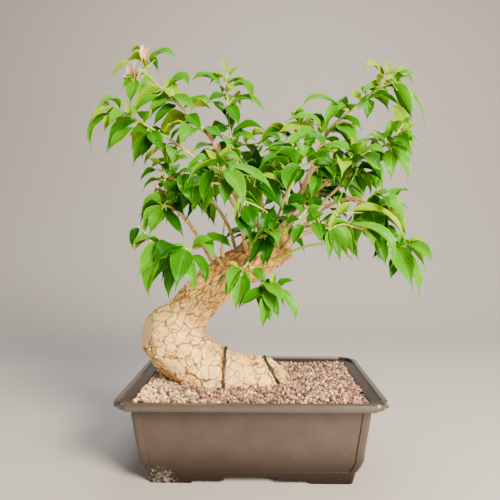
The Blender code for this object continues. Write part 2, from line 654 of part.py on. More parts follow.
def make_wire(name, trunk_tree, centre, normal, material):
    """Tie wire over the trunk, cut off level where it enters the gravel."""
    centre, normal = Vector(centre), Vector(normal).normalized()
    flat = Vector((0.0, 1.0, 0.0))
    flat = (flat - normal * flat.dot(normal)).normalized()
    rise = normal.cross(flat)
    rise = rise if rise.z > 0 else -rise
    route = []
    for i in range(WIRE_STEPS + 1):
        angle = math.pi * i / WIRE_STEPS
        ray = flat * math.cos(angle) + rise * math.sin(angle)
        spot = trunk_tree.ray_cast(centre, ray)[0] + ray * WIRE_CLEAR
        skin, _, _, away = trunk_tree.find_nearest(spot)
        route.append(skin + (spot - skin) * max(1.0, WIRE_CLEAR / away))
    route = [route[0] - rise * WIRE_TAIL] + route + [route[-1] - rise * WIRE_TAIL]
    bm = bmesh.new()
    loft(bm, limb_rings(route, len(route) - 1, WIRE_RADIUS, WIRE_RADIUS, WIRE_SIDES))
    trim(bm, (0.0, 0.0, GROUND), -UP)
    return make_object(name, bm, material, smooth=True)


def bough_shape(name):
    """Closed bmesh of one bough."""
    _, route, foot, tip = BOUGHS[name]
    bm = bmesh.new()
    loft(bm, limb_rings(route, BOUGH_STEPS, foot, tip, BOUGH_SIDES))
    bmesh.ops.triangulate(bm, faces=bm.faces[:])
    bmesh.ops.recalc_face_normals(bm, faces=bm.faces[:])
    return bm


def make_bough(name, material):
    """Tapering bough, its foot cut to lie just clear of its parent."""
    bough = make_object(name, bough_shape(name), material, smooth=True)
    parent = BOUGHS[name][0]
    shape = trunk_shape() if parent == "trunk" else bough_shape(parent)
    cut_away(bough, make_object("clearance", swell(shape, GAP)))
    keep_largest(bough)
    return bough


class Twig:
    """One twig: its route, radii and the leaves that it will carry."""

    def __init__(self, route, foot, tip, leaves, first=None):
        self.route = route
        self.leaves = leaves
        span = sum((Vector(b) - Vector(a)).length for a, b in zip(route, route[1:]))
        steps = max(2, round(span / TWIG_STEP))
        self.places = [curve_point(route, i / steps) for i in range(steps + 1)]
        self.rings = limb_rings(route, steps, foot, tip, TWIG_SIDES, first)
        self.wide_rings = limb_rings(route, steps, foot * TWIG_CLEARANCE, tip * TWIG_CLEARANCE,
                                     TWIG_SIDES, first)

    def at(self, share):
        """Point on the twig's middle line at a share of its run, and the curve's direction."""
        place = share * (len(self.places) - 1)
        k = min(int(place), len(self.places) - 2)
        here = self.places[k].lerp(self.places[k + 1], place - k)
        ahead = curve_point(self.route, min(share + SLOPE_STEP, 1.0))
        behind = curve_point(self.route, max(share - SLOPE_STEP, 0.0))
        return here, (ahead - behind).normalized()


def tree_of(corners, faces):
    """Search tree of one small solid."""
    return BVHTree.FromPolygons([tuple(c) for c in corners], faces)


def twig_solid(rings):
    """Corners and side faces of a twig."""
    corners = [p for ring in rings for p in ring]
    faces = []
    for row in range(len(rings) - 1):
        for i in range(TWIG_SIDES):
            j = (i + 1) % TWIG_SIDES
            base = row * TWIG_SIDES
            faces.append((base + i, base + j, base + TWIG_SIDES + j, base + TWIG_SIDES + i))
    return corners, faces


def leaf_corners(root, run, out, length, droop, grow=1.0, thickness=LEAF_THICKNESS, skip=0.0):
    """Six corners of a folded, drooping leaf: root, two sides, tip, top and underside.

    For a clash test it is grown a little, and may skip a share of its length at the root.
    """
    bent = (run - UP * droop * LEAF_FOOT_DROOP).normalized()
    fallen = (run - UP * droop).normalized()
    middle = root + bent * length * LEAF_WIDEST
    tip = middle + fallen * length * (1.0 - LEAF_WIDEST) * grow
    chord = (tip - root).normalized()
    hint = UP + out * LEAF_FACING_OUT
    normal = (hint - chord * hint.dot(chord)).normalized()
    side = chord.cross(normal)
    half = length * LEAF_WIDTH / 2 * grow
    lift = normal * half * LEAF_FOLD
    thick = normal * thickness / 2
    start = root + bent * length * skip
    return [start, middle + side * half + lift, middle - side * half + lift, tip,
            middle + thick, middle - thick]


def plan_twigs(name):
    """Stem and side twigs of one mass."""
    bough, seed, route, own, sides = MASSES[name]
    chance = random.Random(seed)
    bough_route = BOUGHS[bough][1]
    tip = curve_point(bough_route, 1.0)
    run = (tip - curve_point(bough_route, 1.0 - 1.0 / BOUGH_STEPS)).normalized()
    start = tip + run * GAP
    radius = BOUGHS[bough][3]
    stem = Twig((start,) + route, radius, TWIG_TIP_RADIUS, own, run)
    twigs = [stem]
    for share, end, first, count, length, turn in sides:
        foot, ahead = stem.at(share)
        end = Vector(end)
        reach = (end - foot).length
        wander = Vector((chance.uniform(-1, 1), chance.uniform(-1, 1), 0.0)) * TWIG_WANDER
        bow = foot + (end - foot) * TWIG_BOW_PLACE
        bow += (ahead * TWIG_AHEAD + wander + UP * TWIG_LIFT) * reach
        leaves = (first, count, length, turn)
        twigs.append(Twig((foot, bow, end), SIDE_TWIG_RADIUS, TWIG_TIP_RADIUS, leaves))
    return twigs, chance


def leaf_places(twig, chance):
    """Root, direction, outward side, length and droop of each leaf that the rule gives a twig."""
    first, count, length, turn = twig.leaves
    for i in range(count):
        share = first + (1.0 - first) * (i + 0.5) / count
        root, ahead = twig.at(share)
        side, other = across(ahead)
        angle = math.radians(turn + LEAF_TURN * i + LEAF_TURN_CHANCE * chance.uniform(-1, 1))
        spread = LEAF_SPREAD_FOOT + (LEAF_SPREAD_TIP - LEAF_SPREAD_FOOT) * share
        spread = math.radians(spread + LEAF_SPREAD_CHANCE * chance.uniform(-1, 1))
        size = length * (1.0 - LEAF_TIP_SHRINK * (i / max(count - 1, 1)) ** 2)
        size *= LEAF_SCALE * (1.0 + LEAF_SCALE_CHANCE * chance.uniform(-1, 1))
        droop = LEAF_DROOP * (1.0 + LEAF_DROOP_CHANCE * chance.uniform(-1, 1))
        tries = []
        for attempt in range(LEAF_TRIES):
            step = (attempt + 1) // 2 * (1 if attempt % 2 else -1)
            bearing = angle + math.radians(TRY_TURN) * step
            out = side * math.cos(bearing) + other * math.sin(bearing)
            run = ahead * math.cos(spread) + out * math.sin(spread)
            tries.append((root, run.normalized(), out, size, droop))
        yield tries


def join_mass(name, solids, material):
    """Fuse a mass's twigs and leaves with one Boolean union on a collection."""
    group = bpy.data.collections.new(name + "_pieces")
    bpy.context.scene.collection.children.link(group)
    pieces = []
    for corners, faces in solids:
        bm = bmesh.new()
        verts = [bm.verts.new(c) for c in corners]
        for face in faces:
            bm.faces.new([verts[i] for i in face])
        pieces.append(make_object("piece", bm))
    for piece in pieces[1:]:
        group.objects.link(piece)
    mass = pieces[0]
    mass.name = name
    union = mass.modifiers.new("union", "BOOLEAN")
    union.operation = "UNION"
    union.operand_type = "COLLECTION"
    union.collection = group
    union.solver = "EXACT"
    bake(mass)
    for piece in pieces[1:]:
        bpy.data.objects.remove(piece)
    bpy.data.collections.remove(group)
    keep_largest(mass)
    mass.data.materials.clear()
    mass.data.materials.append(material)
    return mass


def grow_foliage(limbs, material):
    """Grow every mass by the rule, skipping what would touch a limb or another mass."""
    plans = {name: plan_twigs(name) for name in MASSES}
    limb_trees = [BVHTree.FromPolygons([tuple(v.co) for v in limb.data.vertices],
                                       [tuple(p.vertices) for p in limb.data.polygons])
                  for limb in limbs]
    twig_trees = []
    for name, (twigs, _) in plans.items():
        for twig in list(twigs):
            wide = tree_of(*twig_solid(twig.wide_rings))
            rivals = [tree for owner, _, tree in twig_trees if owner != name]
            if twig is not twigs[0] and any(wide.overlap(t) for t in limb_trees + rivals):
                twigs.remove(twig)
                continue
            twig_trees.append((name, twig, wide))
    leaf_trees = []
    for name, (twigs, chance) in plans.items():
        solids = []
        for twig in twigs:
            corners, faces = twig_solid(twig.rings)
            last = len(twig.rings) - 1
            faces = faces + [tuple(range(TWIG_SIDES))[::-1],
                             tuple(last * TWIG_SIDES + i for i in range(TWIG_SIDES))]
            solids.append((corners, faces))
        for twig in twigs:
            own = [tree for owner, t, tree in twig_trees if owner == name and t is not twig]
            rivals = limb_trees + [tree for owner, _, tree in twig_trees if owner != name]
            for tries in leaf_places(twig, chance):
                for place in tries:
                    place = (place[0] - place[1] * SIDE_TWIG_RADIUS,) + place[1:]
                    room = place + (CLEAR_GROWTH, CLEAR_THICKNESS)
                    wide = tree_of(leaf_corners(*room), LEAF_FACES)
                    blade = tree_of(leaf_corners(*room, CLEAR_SKIP), LEAF_FACES)
                    near = [t for spot, t in leaf_trees if (spot - place[0]).length < CLEAR_REACH]
                    if not (any(wide.overlap(t) for t in rivals + near)
                            or any(blade.overlap(t) for t in own)):
                        leaf_trees.append((place[0], wide))
                        solids.append((leaf_corners(*place), LEAF_FACES))
                        break
        join_mass(name, solids, material)


def stand_at_origin():
    """Shift everything so that the middle of the whole underside is the origin."""
    things = [o for o in bpy.data.objects if o.type == "MESH"]
    corners = [v.co for o in things for v in o.data.vertices]
    low = [min(c[i] for c in corners) for i in range(3)]
    high = [max(c[i] for c in corners) for i in range(3)]
    shift = Vector((-(low[0] + high[0]) / 2, -(low[1] + high[1]) / 2, -low[2]))
    for thing in things:
        for vert in thing.data.vertices:
            vert.co += shift
    print("shifted by", tuple(round(s, 5) for s in shift))


def main():
    """Build the whole plant in its pot."""
    for thing in list(bpy.data.objects):
        bpy.data.objects.remove(thing)
    plastic = make_material("pot plastic", "#4a3d38", 0.45)
    stone = make_material("gravel", "#a8958c", 0.90)
    bark = make_material("bark", "#c9a67c", 0.85)
    wire = make_material("wire coating", "#17181a", 0.50)
    leaf = make_material("leaf", "#4f9a22", 0.45)
    make_pot(plastic)
    make_gravel(stone)
    trunk = make_object("trunk", trunk_shape(), bark, smooth=True)
    keep_largest(trunk)
    limbs = [trunk]
    tree = BVHTree.FromPolygons([tuple(v.co) for v in trunk.data.vertices],
                                [tuple(p.vertices) for p in trunk.data.polygons])
    for name, (centre, normal) in WIRES.items():
        make_wire(name, tree, centre, normal, wire)
    for name in BOUGHS:
        limbs.append(make_bough(name, bark))
    grow_foliage(limbs, leaf)
    stand_at_origin()


main()
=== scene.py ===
# %% [markdown]
# # A bougainvillea in its training pot
# This lesson dresses a plain solid model of a young bougainvillea that is being trained as a
# bonsai. The solids give every limb its place and size. Each cell adds one real thing to them:
# the moulded pot, the stone chips, the flaky bark, the wire, and then the leaves.
#
# The solids come in as a fixed frame. Nothing in it is moved: a new piece either stands in for
# a solid or lies on it. The frame's box is kept, and the finished plant's bounds are printed at the end.

# %% Load the frame
import math
import random

import bmesh
import bpy
import numpy as np
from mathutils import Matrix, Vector, kdtree, noise
from mathutils.bvhtree import BVHTree


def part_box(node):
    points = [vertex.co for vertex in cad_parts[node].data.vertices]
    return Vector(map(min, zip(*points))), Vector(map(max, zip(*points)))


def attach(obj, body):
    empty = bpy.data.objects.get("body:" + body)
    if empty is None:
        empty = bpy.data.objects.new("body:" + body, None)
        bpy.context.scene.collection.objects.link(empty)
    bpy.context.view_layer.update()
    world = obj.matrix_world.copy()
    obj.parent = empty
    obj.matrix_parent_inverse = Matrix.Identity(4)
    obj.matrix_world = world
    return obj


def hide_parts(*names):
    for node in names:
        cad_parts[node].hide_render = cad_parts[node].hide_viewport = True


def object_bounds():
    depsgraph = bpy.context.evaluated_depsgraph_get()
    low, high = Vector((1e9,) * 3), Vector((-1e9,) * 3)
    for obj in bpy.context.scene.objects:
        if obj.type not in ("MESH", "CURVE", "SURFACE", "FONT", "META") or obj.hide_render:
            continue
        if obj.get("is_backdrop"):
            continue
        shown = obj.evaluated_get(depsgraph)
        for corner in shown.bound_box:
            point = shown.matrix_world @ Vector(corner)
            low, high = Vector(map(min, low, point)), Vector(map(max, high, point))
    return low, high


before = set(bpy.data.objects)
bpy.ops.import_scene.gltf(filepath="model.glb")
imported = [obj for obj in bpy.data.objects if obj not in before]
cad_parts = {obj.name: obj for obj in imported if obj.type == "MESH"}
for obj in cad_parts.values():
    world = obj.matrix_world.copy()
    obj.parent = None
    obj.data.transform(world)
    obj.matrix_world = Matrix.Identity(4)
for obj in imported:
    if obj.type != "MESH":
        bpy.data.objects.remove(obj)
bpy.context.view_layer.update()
pot_low, pot_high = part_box("pot")
HOME = Vector(((pot_low.x + pot_high.x) / 2, (pot_low.y + pot_high.y) / 2, 0.0))
UP = Vector((0.0, 0.0, 1.0))
print(len(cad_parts), "solids; the pot's middle is at", tuple(round(c, 4) for c in HOME))

# %% [markdown]
# ## The camera
# Every size below is measured from the middle of the pot's underside, which is called HOME. The
# photograph was taken from 67 cm in front of it, about level with the trunk's upper end. Its lens
# is given by its focal length in pixels, and a 36 mm sensor turns that into millimetres.
#
# The same numbers work backwards too: a place in the photograph and a distance from the viewer
# give one point of the plant. `seen_at` does that, and the leaves use it later.

# %% Camera
PHOTO_SIZE = 500
FOCAL_PIXELS = 512.6
SENSOR = 36.0
EYE = HOME + Vector((0.0094, -0.672, 0.2865))
PITCH = math.radians(-1.375)
YAW = math.radians(1.006)

lens = bpy.data.cameras.new("portrait_lens")
lens.sensor_width = SENSOR
lens.lens = SENSOR * FOCAL_PIXELS / PHOTO_SIZE
camera = bpy.data.objects.new("camera", lens)
bpy.context.scene.collection.objects.link(camera)
camera.location = EYE
camera.rotation_euler = (math.pi / 2 + PITCH, 0.0, YAW)
bpy.context.scene.camera = camera
TURN = camera.rotation_euler.to_matrix()


def seen_at(pixel, depth):
    """Point on the line of sight through a pixel, on the upright plane at a depth behind HOME."""
    half = PHOTO_SIZE / 2
    ray = TURN @ Vector((pixel[0] - half, half - pixel[1], -FOCAL_PIXELS))
    return EYE + ray * ((HOME.y + depth - EYE.y) / ray.y)


picture_centre = seen_at((PHOTO_SIZE / 2, PHOTO_SIZE / 2), 0.0)
print("lens", round(lens.lens, 1), "mm; the picture's centre is", tuple(round(c, 3) for c in picture_centre))

# %% [markdown]
# ## Floor and light
# A pale floor that curves up behind the plant keeps the picture plain. Its bend is an extruded
# edge with a bevel, so no horizon line shows. The light is what a photographer calls soft: one
# large warm panel high on the right, a wider and weaker one on the left, one overhead, and a pale
# sky. A fourth panel, small and low on the right, picks out the pot's right corner.

# %% Floor, panels and sky
FLOOR_HALF = 3.0
FLOOR_BACK = 1.6
FLOOR_BEND, BEND_STEPS = 0.8, 16
LEVEL = 1e-6
SKY_STRENGTH = 0.15
# Place, point that it faces, width in metres, watts and colour
PANELS = {
    "key_panel": ((1.05, -1.40, 1.10), (0.0, 0.0, 0.22), 0.7, 156.0, "#fff0d6"),
    "side_panel": ((0.52, -0.62, 0.13), (0.11, -0.10, 0.07), 0.3, 8.0, "#fff1dc"),
    "fill_panel": ((-1.5, -1.2, 0.9), (0.0, 0.0, 0.22), 1.2, 14.0, "#fdf6ec"),
    "top_panel": ((0.1, 0.3, 1.9), (0.0, 0.0, 0.2), 1.0, 30.0, "#ffffff"),
}


def linear(code):
    """Linear colour of an sRGB hex code, as the shaders want it."""
    parts = [int(code[i:i + 2], 16) / 255.0 for i in (1, 3, 5)]
    return [c / 12.92 if c <= 0.04045 else ((c + 0.055) / 1.055) ** 2.4 for c in parts] + [1.0]


def add(tree, kind, inputs=None, ends=(), **settings):
    """A shader node with its settings, a value or a link for each input, and a ramp's two ends."""
    made = tree.nodes.new(kind)
    for name, value in settings.items():
        setattr(made, name, value)
    for name, value in (inputs or {}).items():
        if isinstance(value, bpy.types.NodeSocket):
            tree.links.new(value, made.inputs[name])
        else:
            made.inputs[name].default_value = value
    for number, (place, code) in enumerate(ends):
        made.color_ramp.elements[number].position = place
        made.color_ramp.elements[number].color = linear(code)
    return made


def finish(name, code, roughness, ior=1.45):
    """A Principled material with its fixed values set on the shader's own sockets."""
    material = bpy.data.materials.new(name)
    material.use_nodes = True
    shader = material.node_tree.nodes["Principled BSDF"]
    shader.inputs["Base Color"].default_value = linear(code)
    shader.inputs["Roughness"].default_value = roughness
    shader.inputs["IOR"].default_value = ior
    return material, material.node_tree, shader


def piece(name, bm, material, slot=None, stands_for=(), smooth=True, sharp=50.0):
    """An object at the origin that holds the bmesh's shape and rides on the plant's one body."""
    mesh = bpy.data.meshes.new(name)
    bm.to_mesh(mesh)
    bm.free()
    return dress(name, mesh, material, slot, stands_for, smooth, sharp)


def dress(name, mesh, material, slot=None, stands_for=(), smooth=True, sharp=50.0):
    """Link a mesh as a finished piece, with its material and its place in the frame."""
    mesh.name = name
    mesh.materials.clear()
    mesh.materials.append(material)
    thing = bpy.data.objects.new(name, mesh)
    bpy.context.scene.collection.objects.link(thing)
    if smooth:
        mesh.shade_smooth()
        mesh.set_sharp_from_angle(angle=math.radians(sharp))
    if slot:
        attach(thing, "root")
    if stands_for:
        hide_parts(*stands_for)
    triangles = sum(len(p.vertices) - 2 for p in mesh.polygons)
    print(f"{name}: {triangles} triangles")
    return thing


# Matt emulsion has no shine, so the floor shows nothing but the plant's shadow
paint, _, _ = finish("matt emulsion floor", "#a6a3a0", 0.9)
bm = bmesh.new()
edge = [bm.verts.new((x, -FLOOR_HALF, 0.0)) for x in (-FLOOR_HALF, FLOOR_HALF)]
edges = [bm.edges.new(edge)]
bend = []
for step in ((0.0, FLOOR_HALF + FLOOR_BACK, 0.0), (0.0, 0.0, FLOOR_HALF)):
    made = bmesh.ops.extrude_edge_only(bm, edges=edges)["geom"]
    bmesh.ops.translate(bm, vec=step, verts=[g for g in made if isinstance(g, bmesh.types.BMVert)])
    edges = [g for g in made if isinstance(g, bmesh.types.BMEdge) and g.is_boundary
             and (g.verts[0].co - g.verts[1].co).yz.length < LEVEL]
    bend.append(edges[0])
bmesh.ops.bevel(bm, geom=[bend[0]], offset=FLOOR_BEND, affect="EDGES", segments=BEND_STEPS, profile=0.5,
                material=-1)
bmesh.ops.recalc_face_normals(bm, faces=bm.faces[:])
floor = piece("floor", bm, paint)
floor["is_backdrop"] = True

for name, (place, aim, size, watts, code) in PANELS.items():
    light = bpy.data.lights.new(name, "AREA")
    light.shape = "SQUARE"
    light.size = size
    light.energy = watts
    light.color = linear(code)[:3]
    lamp = bpy.data.objects.new(name, light)
    bpy.context.scene.collection.objects.link(lamp)
    lamp.location = place
    lamp.rotation_euler = (Vector(aim) - Vector(place)).to_track_quat("-Z", "Y").to_euler()

sky = bpy.data.worlds.new("pale_sky")
sky.use_nodes = True
backdrop = sky.node_tree.nodes["Background"]
backdrop.inputs["Color"].default_value = linear("#e6e5e2")
backdrop.inputs["Strength"].default_value = SKY_STRENGTH
bpy.context.scene.world = sky

# %% [markdown]
# ## The pot
# The real pot is injection-moulded polypropylene: one wall of even thickness, a broad rolled rim
# with a step inside it, shallow framed panels and a foot that is open between its corners.
#
# Such a wall is one outline that travels: up the outside, over the rim and down the inside. So a
# ring of edges is extruded again and again, and each new ring is moved to the outline that belongs
# at its height. The feet are then cut with a Boolean, as a mould's insert would leave them.

# %% Pot outline
POT_LENGTH, POT_WIDTH, POT_HEIGHT = pot_high - pot_low
RIM_CORNER = 0.0145
BODY_CORNER = 0.006
INNER_CORNER = 0.009
CORNER_STEPS = 7
NOTCH_DEPTH, NOTCH_HALFWAY = 0.0035, 0.7
NOTCH_RUN = (0.0006, 0.0012, 0.0018)
PANEL_DEPTH, GROOVE_HALF, GROOVE_SHARE = 0.0014, 0.0005, 1.1
POST_WIDTH = 0.0045


def outline(z, inset, corner, notch=0.0, panel=0.0):
    """Ring of the pot at one height, a distance in from the rim's edge."""
    half = (POT_LENGTH / 2 - inset, POT_WIDTH / 2 - inset)
    ring = []
    for quarter in range(4):
        along, out = half[quarter % 2], half[1 - quarter % 2]
        start = -along + corner
        post = start + POST_WIDTH
        row = [(start + NOTCH_RUN[0], out - notch), (start + NOTCH_RUN[1], out - notch * NOTCH_HALFWAY),
               (start + NOTCH_RUN[2], out), (post - GROOVE_HALF, out),
               (post + GROOVE_HALF, out - panel * GROOVE_SHARE), (post + PANEL_DEPTH, out - panel)]
        row += [(-x, y) for x, y in row[::-1]]
        arc = [math.pi / 2 * k / CORNER_STEPS for k in range(CORNER_STEPS + 1)]
        row += [(along - notch - corner + corner * math.sin(a), out - notch - corner + corner * math.cos(a))
                for a in arc]
        turn = -math.pi / 2 * quarter
        for x, y in row:
            ring.append(HOME + Vector((x * math.cos(turn) - y * math.sin(turn),
                                       x * math.sin(turn) + y * math.cos(turn), z)))
    return ring


def skin(bm, rings, closed_ends=True):
    """Extrude a ring of edges from outline to outline, and return the rows of vertices."""
    row = [bm.verts.new(p) for p in rings[0]]
    edges = [bm.edges.new((a, b)) for a, b in zip(row, row[1:] + row[:1])]
    rows = [row]
    for ring in rings[1:]:
        made = bmesh.ops.extrude_edge_only(bm, edges=edges)["geom"]
        fresh = {g for g in made if isinstance(g, bmesh.types.BMVert)}
        row = [next(e.other_vert(v) for e in v.link_edges if e.other_vert(v) in fresh) for v in row]
        for vert, place in zip(row, ring):
            vert.co = place
        edges = [bm.edges.get((a, b)) for a, b in zip(row, row[1:] + row[:1])]
        rows.append(row)
    if closed_ends:
        bmesh.ops.contextual_create(bm, geom=rows[0])
        bmesh.ops.contextual_create(bm, geom=rows[-1])
    bmesh.ops.recalc_face_normals(bm, faces=bm.faces[:])
    return rows


print("outline has", len(outline(0.0, 0.0, RIM_CORNER)), "points; the rim is", round(POT_LENGTH * 1000),
      "mm long")

# %% Pot wall, rim and feet
# Height and distance in from the rim's edge: up the outside, over the rim from its top, down the inside
WALL = ((0.0, 0.0355), (0.0135, 0.0325), (0.0150, 0.0315), (0.0165, 0.0305), (0.0215, 0.0280),
        (0.0300, 0.0248), (0.0450, 0.0233), (0.0700, 0.0200), (0.0905, 0.0176), (0.0920, 0.0175),
        (0.0930, 0.0174), (0.0948, 0.0162))
PANEL_SPAN = (0.0155, 0.0915)
RIM = ((-0.0085, 0.0020), (-0.0080, 0.0008), (-0.0070, 0.0003), (-0.0018, 0.0), (-0.0006, 0.0005),
       (0.0, 0.0016), (0.0, 0.0060), (-0.0006, 0.0068), (-0.0026, 0.0073), (-0.0031, 0.0083))
INSIDE = ((0.1003, 0.0176), (0.0996, 0.0188), (0.0975, 0.0200), (0.0930, 0.0217), (0.0450, 0.0278),
          (0.0240, 0.0318), (0.0160, 0.0400))
FOOT_BREADTH = 0.010
# Share of a side's half length that each cut under the pot takes, and its height
FOOT_CUTS = ((0.25, 0.0085), (0.56, 0.0034))
FOOT_SLANT = 0.009
CUT_BELOW = -0.02
RIM_FACE = 0.003
POT_SHARP = 35.0
# Heights over which the painted shade at the foot fades out and the shine comes back
SHADE_AND_DULL_SPAN = (-0.004, 0.058)
# Inset and foot height of the ledge inside the rim, which is painted near black as shade
LEDGE_INSET = 0.0070
LEDGE_FOOT = 0.0955
LIP_SPAN = (0.092, 0.098)


def block(half_x, half_y, top, bottom, slant=0.0):
    """Box whose two ends along x lean outwards towards its foot."""
    bm = bmesh.new()
    bmesh.ops.create_cube(bm, size=2.0)
    for vert in bm.verts:
        high = vert.co.z > 0
        vert.co = HOME + Vector((vert.co.x * (half_x + (0.0 if high else slant)), vert.co.y * half_y,
                                 top if high else bottom))
    return bm


def cut_away(thing, cutter):
    """Cut a bmesh out of an object with an exact Boolean, and apply it."""
    mesh = bpy.data.meshes.new("cutter")
    cutter.to_mesh(mesh)
    cutter.free()
    tool = bpy.data.objects.new("cutter", mesh)
    bpy.context.scene.collection.objects.link(tool)
    cut = thing.modifiers.new("cut", "BOOLEAN")
    cut.solver = "EXACT"
    cut.object = tool
    graph = bpy.context.evaluated_depsgraph_get()
    thing.data = bpy.data.meshes.new_from_object(thing.evaluated_get(graph), depsgraph=graph)
    thing.modifiers.clear()
    bpy.data.objects.remove(tool)


# Moulded polypropylene: an even dark brown with a satin shine. Blotches of 25 mm and a grain of 0.6 mm
# break it up. Towards the foot the colour is painted darker as shade and shines less, the ledge inside the
# rim is painted near black as shade and dull too, the rolled lip shines, and one front corner is scuffed pale
# in fine scratches.
plastic, tree, shader = finish("injection moulded brown plastic", "#392f2a", 0.29, 1.49)
spot = add(tree, "ShaderNodeTexCoord").outputs["Object"]
blotch = add(tree, "ShaderNodeTexNoise", {"Vector": spot, "Scale": 40.0, "Detail": 6.0})
tone = add(tree, "ShaderNodeValToRGB", {"Fac": blotch.outputs["Fac"]}, ((0.0, "#312823"), (1.0, "#483d35")))
grain = add(tree, "ShaderNodeTexNoise", {"Vector": spot, "Scale": 1800.0, "Detail": 2.0})
bump = add(tree, "ShaderNodeBump", {"Height": grain.outputs["Fac"], "Strength": 0.25, "Distance": 0.0002})
tree.links.new(bump.outputs["Normal"], shader.inputs["Normal"])
FOOT_MARK = HOME + Vector((-0.104, -0.082, 0.003))
gap = add(tree, "ShaderNodeVectorMath", {0: spot, 1: FOOT_MARK}, operation="DISTANCE")
near = add(tree, "ShaderNodeMapRange", {"Value": gap.outputs["Value"], "From Min": 0.010, "From Max": 0.026,
                                        "To Min": 0.16, "To Max": -0.10})
scratch = add(tree, "ShaderNodeTexNoise", {"Vector": spot, "Scale": 320.0, "Detail": 8.0, "Distortion": 0.4})
both = add(tree, "ShaderNodeMath", {0: scratch.outputs["Fac"], 1: near.outputs["Result"]}, operation="ADD")
scuff = add(tree, "ShaderNodeMapRange", {"Value": both.outputs["Value"], "From Min": 0.58, "From Max": 1.0,
                                         "To Max": 0.42})
height = add(tree, "ShaderNodeSeparateXYZ", {"Vector": spot}).outputs["Z"]
# Painted shade: the colour darkens towards the foot, and the same mask lowers the shine there
painted_shade_and_dullness = add(tree, "ShaderNodeMapRange", {"Value": height, "From Min": SHADE_AND_DULL_SPAN[0], "From Max": SHADE_AND_DULL_SPAN[1]},
           interpolation_type="SMOOTHSTEP").outputs["Result"]
shine = add(tree, "ShaderNodeMapRange", {"Value": painted_shade_and_dullness, "To Min": 0.12, "To Max": 0.60})
offset = add(tree, "ShaderNodeVectorMath", {0: spot, 1: HOME}, operation="SUBTRACT")
offset = add(tree, "ShaderNodeVectorMath", {0: offset.outputs["Vector"]}, operation="ABSOLUTE")
rim_half = (POT_LENGTH / 2, POT_WIDTH / 2, 0.0)
offset = add(tree, "ShaderNodeVectorMath", {0: offset.outputs["Vector"], 1: rim_half}, operation="SUBTRACT")
offset = add(tree, "ShaderNodeSeparateXYZ", {"Vector": offset.outputs["Vector"]})
edge = add(tree, "ShaderNodeMath", {0: offset.outputs["X"], 1: offset.outputs["Y"]}, operation="MAXIMUM")
# Painted shade: inside the rim, above LEDGE_FOOT, the colour is made near black and the shine is cut to 0.3
within = add(tree, "ShaderNodeMapRange", {"Value": edge.outputs["Value"], "From Min": -LEDGE_INSET - 0.001,
                                          "From Max": -LEDGE_INSET, "To Min": 1.0, "To Max": 0.0})
above = add(tree, "ShaderNodeMath", {0: height, 1: LEDGE_FOOT}, operation="GREATER_THAN")
inner = add(tree, "ShaderNodeMath", {0: within.outputs["Result"], 1: above.outputs["Value"]},
            operation="MULTIPLY")
outer = add(tree, "ShaderNodeMapRange", {"Value": inner.outputs["Value"], "To Min": 1.0, "To Max": 0.3})
lip = add(tree, "ShaderNodeMapRange", {"Value": height, "From Min": LIP_SPAN[0], "From Max": LIP_SPAN[1],
                                       "To Min": 1.0, "To Max": 1.67})
outer = add(tree, "ShaderNodeMath", {0: lip.outputs["Result"], 1: outer.outputs["Result"]},
            operation="MULTIPLY")
shine = add(tree, "ShaderNodeMath", {0: shine.outputs["Result"], 1: outer.outputs["Value"]},
            operation="MULTIPLY")
tree.links.new(shine.outputs["Value"], shader.inputs["Specular IOR Level"])
# Painted shade at the foot: near-black brown at the bottom, the blotched tone higher up
foot_shade_mix = add(tree, "ShaderNodeMix", {"Factor": painted_shade_and_dullness}, data_type="RGBA")
foot_shade_mix.inputs["A"].default_value = linear("#1c1411")
tree.links.new(tone.outputs["Color"], foot_shade_mix.inputs["B"])
colour = foot_shade_mix.outputs["Result"]
# First the ledge inside the rim gets its painted shade, near black, then the pale scuff of real wear
for factor, code in ((inner.outputs["Value"], "#1a1411"), (scuff.outputs["Result"], "#cfc8c2")):
    mix = add(tree, "ShaderNodeMix", {"Factor": factor}, data_type="RGBA")
    tree.links.new(colour, mix.inputs["A"])
    mix.inputs["B"].default_value = linear(code)
    colour = mix.outputs["Result"]
tree.links.new(colour, shader.inputs["Base Color"])

rings = [outline(z, inset, BODY_CORNER, panel=PANEL_DEPTH if PANEL_SPAN[0] < z < PANEL_SPAN[1] else 0.0)
         for z, inset in WALL]
rings += [outline(POT_HEIGHT + z, inset, RIM_CORNER, NOTCH_DEPTH * (1.0 if inset < RIM_FACE else 0.5))
          for z, inset in RIM]
rings += [outline(z, inset, INNER_CORNER) for z, inset in INSIDE]
bm = bmesh.new()
skin(bm, rings)
pot = piece("pot_shell", bm, plastic, "pot_plastic", ["pot"])
foot_x, foot_y = POT_LENGTH / 2 - WALL[0][1], POT_WIDTH / 2 - WALL[0][1]
cut_away(pot, block(foot_x - FOOT_BREADTH, foot_y - FOOT_BREADTH, FOOT_CUTS[0][1], CUT_BELOW))
quarter_turn = Vector((0, 1, 0)).rotation_difference(Vector((1, 0, 0))).to_matrix()
for share, height in FOOT_CUTS:
    cut_away(pot, block(foot_x * share, POT_LENGTH, height, -2 * height, FOOT_SLANT))
    cross = block(foot_y * share, POT_LENGTH, height, -2 * height, FOOT_SLANT)
    bmesh.ops.rotate(cross, cent=HOME, matrix=quarter_turn, verts=cross.verts)
    cut_away(pot, cross)
pot.data.shade_smooth()
pot.data.set_sharp_from_angle(angle=math.radians(POT_SHARP))

# %% [markdown]
# ## The stone chips
# The pot is filled with crushed stone, sieved to about 3 to 6 mm. A bed closes the pot, and loose
# chips lie on it in two layers. Each chip is an icosahedron whose corners were pushed about and
# wrapped again in their convex hull, which leaves the flat broken faces of crushed stone.
#
# Chips are laid on a jittered grid, so none float and none pile up. Five kinds are mixed by lot, from
# dark to pinkish, and cream ones gather in the front left corner and along the left edge.

